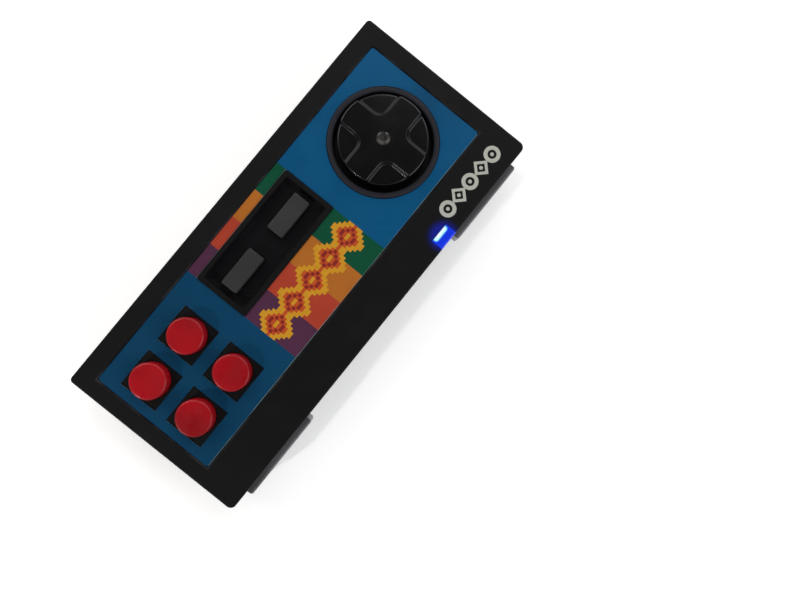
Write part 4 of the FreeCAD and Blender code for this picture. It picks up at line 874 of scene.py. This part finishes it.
class GAMEPAD_OT_direction_pad(bpy.types.Operator):
    """Gloss black direction pad"""

    bl_idname = "gamepad.direction_pad"
    bl_label = "Direction pad"

    def execute(self, context):
        s = context.scene.game_pad.pad
        pad = make_piece("direction_pad", self.parts(s), 55.0)
        gloss = Finish("pad_gloss", s.tint, 0.2, Specular_IOR_Level=0.45)
        n = gloss.nodes
        skin = gloss.effect(mould_grain(), Grain_Scale=2500.0)
        lines = gloss.effect(hairlines(), Scale=2200.0)
        lying = gloss.effect(fine_dust(), Amount=0.08, Speck_Scale=2600.0)
        gloss.paint(skin["Blotch"], shade(s.tint, 0.8))
        gloss.paint(lying["Mask"], context.scene.game_pad.case.dust)
        gloss.polish(n.ramp(n.noise(140.0, 3.0), 0.4, 0.7), 0.23)
        # The dimple is painted a patchy grey and made rougher; the grey is a painted reflection in its
        # hollow.
        dimple_sheen = n.ramp(n.distance(PAD_X, PAD_Y), 0.8 * s.dimple_radius, 1.1 * s.dimple_radius, 1.0, 0.0)
        dimple_sheen = n.math("MULTIPLY", dimple_sheen, n.ramp(n.noise(600.0, 3.0), 0.35, 0.6, 0.45, 1.0))
        gloss.paint(dimple_sheen, s.rubbed)
        gloss.polish(dimple_sheen, 0.3)
        gloss.polish(lines["Mask"], 0.24)
        gloss.polish(lying["Mask"], 0.8)
        gloss.relief(skin["Height"], 0.0012 * MM)
        place_piece(pad, gloss.done(), "dpad", "pad_black", "dpad")
        return {"FINISHED"}

    def parts(self, s):
        """A lathe profile from the ball socket, round the hollow, flange and rim, to the top's middle.

        A quarter drops along a blend of a straight ramp and a smooth step of the distance d inside
        its outline, over the slope's width. With a and b the distances from the two arms, d is the
        smaller of them, or R - |(R - a, R - b)| within the corner's radius R. The dimple drops by
        h (2 - h), with h = 1 - r^2 / R^2 for the dimple's own radius.
        """
        top, radius, e = PAD_HIGH.z, s.disc_radius, s.edge_radius
        flange_r = (PAD_HIGH.x - PAD_LOW.x) / 2
        flange_low = PAD_LOW.z + s.foot_length
        ball_low, ball_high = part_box("dpad_pivot_ball")
        ball_r, ball_z = (ball_high.z - ball_low.z) / 2, (ball_high.z + ball_low.z) / 2
        socket_gap = 0.05 * MM
        hub_r, hub_z, socket_r = 3.2 * MM, ball_z + 0.4 * ball_r, ball_r + socket_gap
        hollow = top - s.quarter_depth - s.skin
        start = math.degrees(math.asin((hub_z - ball_z) / socket_r))
        under = arc(0, ball_z, socket_r, 90, start, 10)
        under += [(hub_r, hub_z), (hub_r, hollow), (radius - s.skin, hollow), (radius - s.skin, flange_low)]
        under += [(flange_r, flange_low), (flange_r, flange_low + s.flange_thickness)]
        under += [(radius, flange_low + s.flange_thickness)]
        wall = [(radius, z) for z in np.linspace(flange_low + s.flange_thickness, top - e, 12)[1:-1]]
        rim = arc(radius - e, top - e, e, 0, 90, 9)
        inner = [(r, top) for r in np.linspace(radius - e, 0, 112)[1:]]
        profile = under + wall + rim + inner
        share = [0.0] * len(under) + np.linspace(0, 1, len(wall) + 2)[1:-1].tolist()
        share += [1.0] * (len(rim) + len(inner))
        share = np.array(share)[:, None]

        def lift(px, py):
            a = np.abs(px) - s.arm_width / 2
            b = np.abs(py) - s.arm_width / 2
            corner = s.corner_radius
            ca, cb = np.maximum(corner - a, 0), np.maximum(corner - b, 0)
            inside = np.where((a < corner) & (b < corner), corner - np.hypot(ca, cb), np.minimum(a, b))
            t = np.clip(inside / s.quarter_slope, 0, 1)
            slope = 0.35 * t + 0.65 * t * t * (3 - 2 * t)
            dish = np.clip(1 - (px**2 + py**2) / s.dimple_radius**2, 0, 1)
            return -share * (s.quarter_depth * slope + s.dimple_depth * dish * (2 - dish))

        parts = [lathe(profile, PAD_X, PAD_Y, s.around, lift)]
        foot_r, foot_inset = 1.8 * MM, 3.5 * MM
        foot_circle = radius - foot_inset
        # A foot's end is crowned: it rises by r^2 over twice the crown's radius.
        foot = [(r, PAD_LOW.z + r * r / (2 * s.foot_crown)) for r in np.linspace(0, foot_r - 0.2 * MM, 8)]
        foot += [(foot_r, PAD_LOW.z + 0.35 * MM), (foot_r, hollow + 0.1 * MM), (0, hollow + 0.1 * MM)]
        for i, j in ((1, 0), (0, 1), (-1, 0), (0, -1)):
            parts.append(lathe(foot, PAD_X + i * foot_circle, PAD_Y + j * foot_circle, 40))
        return parts


class GAMEPAD_OT_action_buttons(bpy.types.Operator):
    """Four red action buttons"""

    bl_idname = "gamepad.action_buttons"
    bl_label = "Action buttons"

    def execute(self, context):
        s = context.scene.game_pad.buttons
        red = moulded("button_red", s.red, s.red_worn, 0.32, 2600.0, 0.002 * MM, wear=0.8, dust=0.02,
                      Specular_IOR_Level=0.32)
        red.polish(red.nodes.ramp(red.nodes.noise(260.0, 3.0), 0.4, 0.7), 0.27)
        material = red.done()
        for body in ACTION_BODIES:
            node = body.replace("action_", "action_button_")
            name = body.replace("action_", "red_button_")
            place_piece(make_piece(name, self.parts(s, node)), material, body, "button_red", node)
        return {"FINISHED"}

    def parts(self, s, node):
        """A lathe profile of foot, flange, cap wall, rounded rim and dished top, and the key's block.

        The top dips by the dish times (1 - t^2)^2, with t from 0 in the middle to 1 at the rim.
        """
        low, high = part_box(node)
        flange_r = (high.y - low.y) / 2
        x, y = low.x + flange_r, (low.y + high.y) / 2
        flange_low = low.z + s.foot_length
        flange_top, r, e = flange_low + s.flange, s.cap_radius, s.cap_edge
        foot_r = 2.4 * MM
        profile = [(0, low.z), (foot_r, low.z), (foot_r, flange_low), (flange_r, flange_low)]
        profile += [(flange_r, flange_top), (r, flange_top), (r, (flange_top + high.z) / 2)]
        profile += arc(r - e, high.z - e, e, 0, 90, 12)
        t = np.linspace(1, 0, 24)[1:]
        dip = s.cap_dish * (1 - t * t) ** 2
        profile += np.column_stack([(r - e) * t, high.z - dip]).tolist()
        key = block_part(x, high.x, y - s.key_width / 2, y + s.key_width / 2, flange_low, flange_top)
        return [lathe(profile, x, y, 128), key]


class GAMEPAD_OT_pocket_buttons(bpy.types.Operator):
    """Two grey buttons in the pocket"""

    bl_idname = "gamepad.pocket_buttons"
    bl_label = "Pocket buttons"

    def execute(self, context):
        s = context.scene.game_pad.buttons
        grey = moulded("button_grey", s.grey, s.grey_worn, 0.55, 4200.0, 0.006 * MM, wear=2.6,
                       radius=0.3 * MM, dust=0.12, Specular_IOR_Level=0.25)
        material = grey.done()
        for body in POCKET_BODIES:
            piece = make_piece(f"grey_button_{body}", self.parts(s, f"{body}_button"))
            place_piece(piece, material, body, "button_grey", f"{body}_button")
        return {"FINISHED"}

    def parts(self, s, node):
        """A rounded bar with a flange, a quarter-circle rim and a slightly crowned top, on a round foot."""
        low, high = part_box(node)
        x, y = middle(node)
        half_x, half_y, e = s.bar_length / 2, s.bar_width / 2, s.bar_edge
        lip = (high.x - low.x) / 2 - half_x
        flange_low = low.z + s.bar_foot
        flange_top = flange_low + s.bar_flange
        crown = 0.06 * MM
        rows = [(lip, 0, flange_low), (lip, 1, flange_low), (lip, 1, flange_top), (0, 1, flange_top)]
        rows += [(0, 1, high.z - e - crown)]
        rim = np.radians(np.linspace(10, 90, 8))
        rows += [(-e * (1 - math.cos(a)), 1, high.z - crown - e * (1 - math.sin(a))) for a in rim]
        rows += [(-e, t, high.z - crown * t * t) for t in np.linspace(1, 0, 12)[1:]]
        foot_r = 2.2 * MM
        foot = [(0, low.z), (foot_r, low.z), (foot_r, flange_low + 0.2 * MM), (0, flange_low + 0.2 * MM)]
        return [bar(x, y, half_x, half_y, s.bar_corner, rows), lathe(foot, x, y, 48)]


class GAMEPAD_OT_shoulder_buttons(bpy.types.Operator):
    """Two shoulder buttons with rubbed edges"""

    bl_idname = "gamepad.shoulder_buttons"
    bl_label = "Shoulder buttons"

    def execute(self, context):
        s = context.scene.game_pad.buttons
        made = moulded("shoulder_plastic", s.shoulder, s.shoulder_worn, 0.42, 3600.0, 0.005 * MM, wear=2.8,
                       radius=0.35 * MM, dust=0.25, Specular_IOR_Level=0.35)
        dress(made.done(), "left_shoulder_button", "right_shoulder_button")
        return {"FINISHED"}


class GAMEPAD_OT_status_light(bpy.types.Operator):
    """Blue status light and the lamp under it"""

    bl_idname = "gamepad.status_light"
    bl_label = "Status light"

    def execute(self, context):
        s = context.scene.game_pad.case
        pipe = Finish("light_pipe", (0.06, 0.09, 0.3), 0.25, IOR=1.49)
        n = pipe.nodes
        x, y, z = n.axes()
        depth = LIGHT_HIGH.y - LIGHT_LOW.y
        # A bright core with round ends lies near the front, and the rest is deep blue with fine ribs.
        half = (LIGHT_HIGH.x - LIGHT_LOW.x) / 2
        core_y = LIGHT_LOW.y + 0.28 * depth
        along = n.off(x, (LIGHT_HIGH.x + LIGHT_LOW.x) / 2)
        past_core = n.math("MAXIMUM", n.math("SUBTRACT", along, half - 1.3 * MM), 0.0)
        reach = n.hypot(past_core, n.off(y, core_y))
        ribs = n.math("SINE", n.math("MULTIPLY", y, 2 * math.pi / s.rib_pitch))
        deep = n.mix(n.ramp(ribs, -0.6, 0.6, 0.0, 0.45), linear(s.far), (0.0, 0.006, 0.3, 1.0))
        hue = n.mix(n.ramp(reach, 0.55 * MM, 1.15 * MM), linear(s.core), deep)
        white = n.ramp(reach, 0.25 * MM, 0.75 * MM, 1.0, 0.0)
        uneven = n.ramp(n.noise(700.0, 1.0), 0.3, 0.6, 0.55, 1.0)
        hue = n.mix(n.math("MULTIPLY", white, uneven), hue, (1, 1, 1, 1))
        lit = n.ramp(z, LIGHT_HIGH.z - 3.2 * MM, LIGHT_HIGH.z - 1.5 * MM, 0.25, 1.0)
        pipe.glow(n.mix(lit, (0.0, 0.02, 0.2, 1.0), hue), 0.95)
        pipe.relief(n.noise(2500.0, 1.0), 0.003 * MM)
        dress(pipe.done(), "light_pipe")
        lamp = Finish("led_lens", (0.85, 0.9, 0.95), 0.2, IOR=1.5)
        n = lamp.nodes
        ring = n.distance(*middle("status_led"))
        lamp.paint(n.ramp(ring, 0.5 * MM, 0.9 * MM), (0.7, 0.7, 0.66))
        lamp.glow(n.mix(n.ramp(ring, 0.3 * MM, 0.8 * MM), linear(s.core), (0.0, 0.01, 0.06, 1.0)), 2.0)
        dress(lamp.done(), "status_led")
        return {"FINISHED"}


class GAMEPAD_OT_electronics(bpy.types.Operator):
    """Circuit board, chips and switches"""

    bl_idname = "gamepad.electronics"
    bl_label = "Electronics"

    def execute(self, context):
        s = context.scene.game_pad.case
        dress(self.board(s), "main_board")
        dress(self.chip(), "controller_chip")
        dress(self.radio(s), "radio_module")
        plain = moulded("dark_moulding", (0.09, 0.09, 0.095), (0.25, 0.25, 0.25), 0.5, 5000.0, 0.004 * MM)
        dress(plain.done(), "left_shoulder_switch", "right_shoulder_switch", "power_switch_body",
              "power_inductor", "power_switch_knob")
        tan = Finish("ceramic", (0.66, 0.5, 0.34), 0.45)
        tan.paint(tan.nodes.ramp(tan.nodes.noise(1800.0, 3.0), 0.4, 0.7, 0.0, 0.5), (0.5, 0.36, 0.24))
        _, y, _ = tan.nodes.axes()
        cap_y = middle("capacitors")[1]
        ends = tan.nodes.ramp(tan.nodes.off(y, cap_y), 1.05 * MM, 1.1 * MM)
        tan.paint(ends, (0.8, 0.8, 0.8))
        tan.polish(ends, 0.3)
        tan.nodes.put(tan.shader.inputs["Metallic"], ends)
        dress(tan.done(), "capacitors")
        brown = moulded("plunger_brown", (0.46, 0.31, 0.2), (0.6, 0.46, 0.34), 0.45, 5000.0, 0.003 * MM)
        dress(brown.done(), "left_switch_plunger", "right_switch_plunger")
        return {"FINISHED"}

    def board(self, s):
        made = Finish("solder_mask", s.board, 0.32, Specular_IOR_Level=0.5)
        n = made.nodes
        slant = {"Vector": n.place(), "Rotation": (0.0, 0.0, math.pi / 4)}
        where = {"Vector": n.add("ShaderNodeMapping", slant).outputs[0], "Scale": 260.0}
        near, second = (
            n.add("ShaderNodeTexVoronoi", where, feature=feature, distance="CHEBYCHEV").outputs["Distance"]
            for feature in ("F1", "F2")
        )
        tracks = n.ramp(n.math("SUBTRACT", second, near), 0.06, 0.12, 1.0, 0.0)
        holes = n.ramp(near, 0.05, 0.07, 1.0, 0.0)
        made.paint(tracks, s.copper)
        made.paint(holes, (0.78, 0.66, 0.4))
        made.paint(n.ramp(n.noise(2400.0, 3.0), 0.4, 0.8, 0.0, 0.3), shade(s.board, 0.6))
        made.relief(tracks, 0.02 * MM)
        side = n.ramp(n.math("ABSOLUTE", n.upward()), 0.5, 0.3)
        made.paint(side, (0.62, 0.6, 0.42))
        made.polish(side, 0.7)
        return made.done()

    def chip(self):
        made = Finish("chip", (0.08, 0.08, 0.085), 0.55, Specular_IOR_Level=0.4)
        n = made.nodes
        x, y, _ = n.axes()
        cx, cy = middle("controller_chip")
        out = n.math("MAXIMUM", n.off(x, cx), n.off(y, cy))
        legs = n.ramp(out, 3.5 * MM, 3.52 * MM)
        spot = n.ramp(n.distance(cx - 2.6 * MM, cy - 2.6 * MM), 0.45 * MM, 0.5 * MM, 1.0, 0.0)
        made.paint(spot, (0.2, 0.2, 0.2))
        made.paint(legs, (0.8, 0.8, 0.78))
        made.polish(legs, 0.3)
        made.nodes.put(made.shader.inputs["Metallic"], legs)
        made.relief(n.noise(7000.0, 2.0), 0.004 * MM)
        return made.done()

    def radio(self, s):
        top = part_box("radio_module")[1].z
        made = Finish("radio_can", (0.78, 0.78, 0.77), 0.3)
        n = made.nodes
        _, _, z = n.axes()
        base = n.ramp(z, top - 0.82 * MM, top - 0.78 * MM)
        made.paint(n.noise(1800.0, 2.0, (0.1, 1.0, 1.0)), (0.66, 0.66, 0.66))
        made.paint(base, s.board)
        made.polish(base, 0.45)
        made.nodes.put(made.shader.inputs["Metallic"], n.math("SUBTRACT", 1.0, base))
        made.normal = made.effect(edge_wear(), Amount=1.0)["Normal"]
        return made.done()


class GAMEPAD_OT_membranes(bpy.types.Operator):
    """Silicone membranes, cut between their domes into one piece for each dome"""

    bl_idname = "gamepad.membranes"
    bl_label = "Membranes"

    def execute(self, context):
        material = self.silicone(context.scene.game_pad.case)
        action_middle = middle("action_membrane")
        for body in ACTION_BODIES:
            button = body.replace("action_", "action_button_")
            ways = [SIDES[word] for word in body.split("_")[1:]]
            self.press_dome("action_membrane", button, body, ways, action_middle, material)
        pocket_middle = (POCKET_X, POCKET_Y)
        for body, side in zip(POCKET_BODIES, ("left", "right")):
            button = f"{body}_button"
            self.press_dome("select_start_membrane", button, body, [SIDES[side]], pocket_middle, material)
        # A foot sinks by its distance from the pivot times the tilt's sine. The reach lies a little
        # past the foot's far edge.
        foot_reach = context.scene.game_pad.pad.disc_radius - 1.0 * MM
        for side, (i, j) in SIDES.items():
            joint = "dpad_tilt_y" if i else "dpad_tilt_x"
            sink = foot_reach * math.sin(math.radians(JOINTS[joint]["range_deg"][1]))
            ways = [(i - j, i + j), (i + j, j - i)]
            name = f"dpad_dome_{side}"
            self.dome(name, "dpad_membrane", ways, (PAD_X, PAD_Y), joint, sink, PAD_LOW.z, material)
        return {"FINISHED"}

    def press_dome(self, node, button, body, ways, centre, material):
        joint = f"{body}_press"
        sink = JOINTS[joint]["range_m"][1]
        self.dome(f"dome_{body}", node, ways, centre, joint, sink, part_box(button)[0].z, material)

    def dome(self, name, node, ways, centre, joint, sink, foot_z, material):
        """One dome and its share of the sheet, cut out by upright planes through the membrane's centre.

        joint, sink and foot_z are not used.
        """
        work = bmesh.new()
        work.from_mesh(frame["nodes"][node].data)
        bmesh.ops.remove_doubles(work, verts=work.verts, dist=1e-7)
        for i, j in ways:
            everything = work.verts[:] + work.edges[:] + work.faces[:]
            plane = {"plane_co": (*centre, 0), "plane_no": (i, j, 0)}
            bmesh.ops.bisect_plane(work, geom=everything, clear_inner=True, **plane)
            rims = [edge for edge in work.edges if edge.is_boundary]
            bmesh.ops.holes_fill(work, edges=rims, sides=0)
        bmesh.ops.triangulate(work, faces=work.faces)
        mesh = bpy.data.meshes.new(name)
        work.to_mesh(mesh)
        work.free()
        mesh.shade_smooth()
        mesh.set_sharp_from_angle(angle=math.radians(30))
        piece = bpy.data.objects.new(name, mesh)
        bpy.context.scene.collection.objects.link(piece)
        place_piece(piece, material, "case", "silicone", node)
        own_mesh(piece)

    def silicone(self, s):
        made = Finish("silicone", s.silicone, 0.48, Specular_IOR_Level=0.4, Sheen_Weight=0.15)
        n = made.nodes
        lying = made.effect(fine_dust(), Amount=0.3)
        _, _, z = n.axes()
        thin = n.ramp(z, 10.4 * MM, 12.5 * MM, 0.0, 0.35)
        made.paint(thin, (0.88, 0.88, 0.87))
        made.paint(lying["Mask"], s.dust)
        made.polish(n.noise(500.0, 2.0), 0.6)
        made.relief(n.noise(2500.0, 2.0), 0.006 * MM)
        return made.done()


class GAMEPAD_OT_batteries(bpy.types.Operator):
    """Cells, contacts and wires"""

    bl_idname = "gamepad.batteries"
    bl_label = "Batteries"

    def execute(self, context):
        s = context.scene.game_pad.case
        for node, way in (("cell_front", 1), ("cell_back", -1)):
            dress(self.cell(s, node, way), node)
        nickel = metal("nickel", (0.82, 0.8, 0.74), (0.6, 0.56, 0.48), 0.28, (1.0, 0.1, 1.0))
        contacts = ("positive", "negative", "bridge")
        dress(nickel.done(), *(f"battery_contact_{c}" for c in contacts))
        wires = {"battery_wire_red": (0.7, 0.05, 0.06), "battery_wire_black": (0.07, 0.07, 0.07)}
        for node, tint in wires.items():
            sleeve = Finish(node, tint, 0.36)
            n = sleeve.nodes
            sleeve.paint(n.ramp(n.noise(1600.0, 2.0), 0.4, 0.8, 0.0, 0.4), shade(tint, 0.6))
            sleeve.polish(n.noise(700.0, 2.0), 0.5)
            sleeve.relief(n.noise(4000.0, 1.0), 0.003 * MM)
            sleeve.normal = sleeve.effect(edge_wear(), Amount=1.0)["Normal"]
            dress(sleeve.done(), node)
        return {"FINISHED"}

    def cell(self, s, node, way):
        """Dark wrap with a coppery band at the nub's end, and bare steel at both ends."""
        low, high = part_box(node)
        made = Finish(node, s.wrap, 0.26, Coat_Weight=0.3, Coat_Roughness=0.1)
        n = made.nodes
        x, y, z = n.axes()
        nub_end = high.x if way > 0 else low.x
        along = n.math("MULTIPLY", n.math("SUBTRACT", nub_end, x), float(way))
        cy, cz = (low.y + high.y) / 2, (low.z + high.z) / 2
        r = n.hypot(n.math("SUBTRACT", y, cy), n.math("SUBTRACT", z, cz))
        made.paint(n.ramp(along, 12.0 * MM, 11.9 * MM), s.band)
        made.paint(n.between(along, 12.0 * MM, 12.6 * MM, 0.03 * MM), (0.85, 0.85, 0.8))
        made.paint(n.ramp(n.noise(500.0, 3.0), 0.4, 0.8, 0.0, 0.25), (0.05, 0.05, 0.06))
        steel = n.ramp(r, 4.72 * MM, 4.7 * MM)
        made.paint(steel, (0.76, 0.75, 0.72))
        made.polish(steel, 0.34)
        made.nodes.put(made.shader.inputs["Metallic"], steel)
        made.normal = made.effect(edge_wear(), Amount=1.0, Radius=0.3 * MM)["Normal"]
        return made.done()


class GAMEPAD_OT_fasteners(bpy.types.Operator):
    """Screws, pins, ball and crystal can"""

    bl_idname = "gamepad.fasteners"
    bl_label = "Fasteners"

    def execute(self, context):
        dark = metal("screw_steel", (0.32, 0.32, 0.34), (0.16, 0.15, 0.15), 0.34)
        dress(dark.done(), "case_screws", "board_screws")
        bright = metal("pin_steel", (0.72, 0.72, 0.73), (0.5, 0.5, 0.5), 0.24, (1.0, 1.0, 0.1))
        dress(bright.done(), "shoulder_pins", "dpad_pivot_ball", "clock_crystal")
        return {"FINISHED"}


OPERATORS = (
    GAMEPAD_OT_stage,
    GAMEPAD_OT_case,
    GAMEPAD_OT_label,
    GAMEPAD_OT_face_mark,
    GAMEPAD_OT_direction_pad,
    GAMEPAD_OT_action_buttons,
    GAMEPAD_OT_pocket_buttons,
    GAMEPAD_OT_shoulder_buttons,
    GAMEPAD_OT_status_light,
    GAMEPAD_OT_electronics,
    GAMEPAD_OT_membranes,
    GAMEPAD_OT_batteries,
    GAMEPAD_OT_fasteners,
)


class GAMEPAD_PT_panel(bpy.types.Panel):
    """Builds each piece of the game pad"""

    bl_idname = "GAMEPAD_PT_panel"
    bl_label = "Game Pad"
    bl_space_type = "VIEW_3D"
    bl_region_type = "UI"
    bl_category = "Game Pad"

    def draw(self, context):
        for operator in OPERATORS:
            self.layout.operator(operator.bl_idname)


SETTINGS = (PadSettings, ButtonSettings, PrintSettings, CaseSettings, StageSettings, GamePadSettings)
CLASSES = (*SETTINGS, *OPERATORS, GAMEPAD_PT_panel)


def register():
    for cls in CLASSES:
        bpy.utils.register_class(cls)
    bpy.types.Scene.game_pad = PointerProperty(type=GamePadSettings)


def unregister():
    del bpy.types.Scene.game_pad
    for cls in reversed(CLASSES):
        bpy.utils.unregister_class(cls)


def main():
    register()
    for operator in OPERATORS:
        family, name = operator.bl_idname.split(".")
        getattr(getattr(bpy.ops, family), name)()


if __name__ == "__main__":
    main()
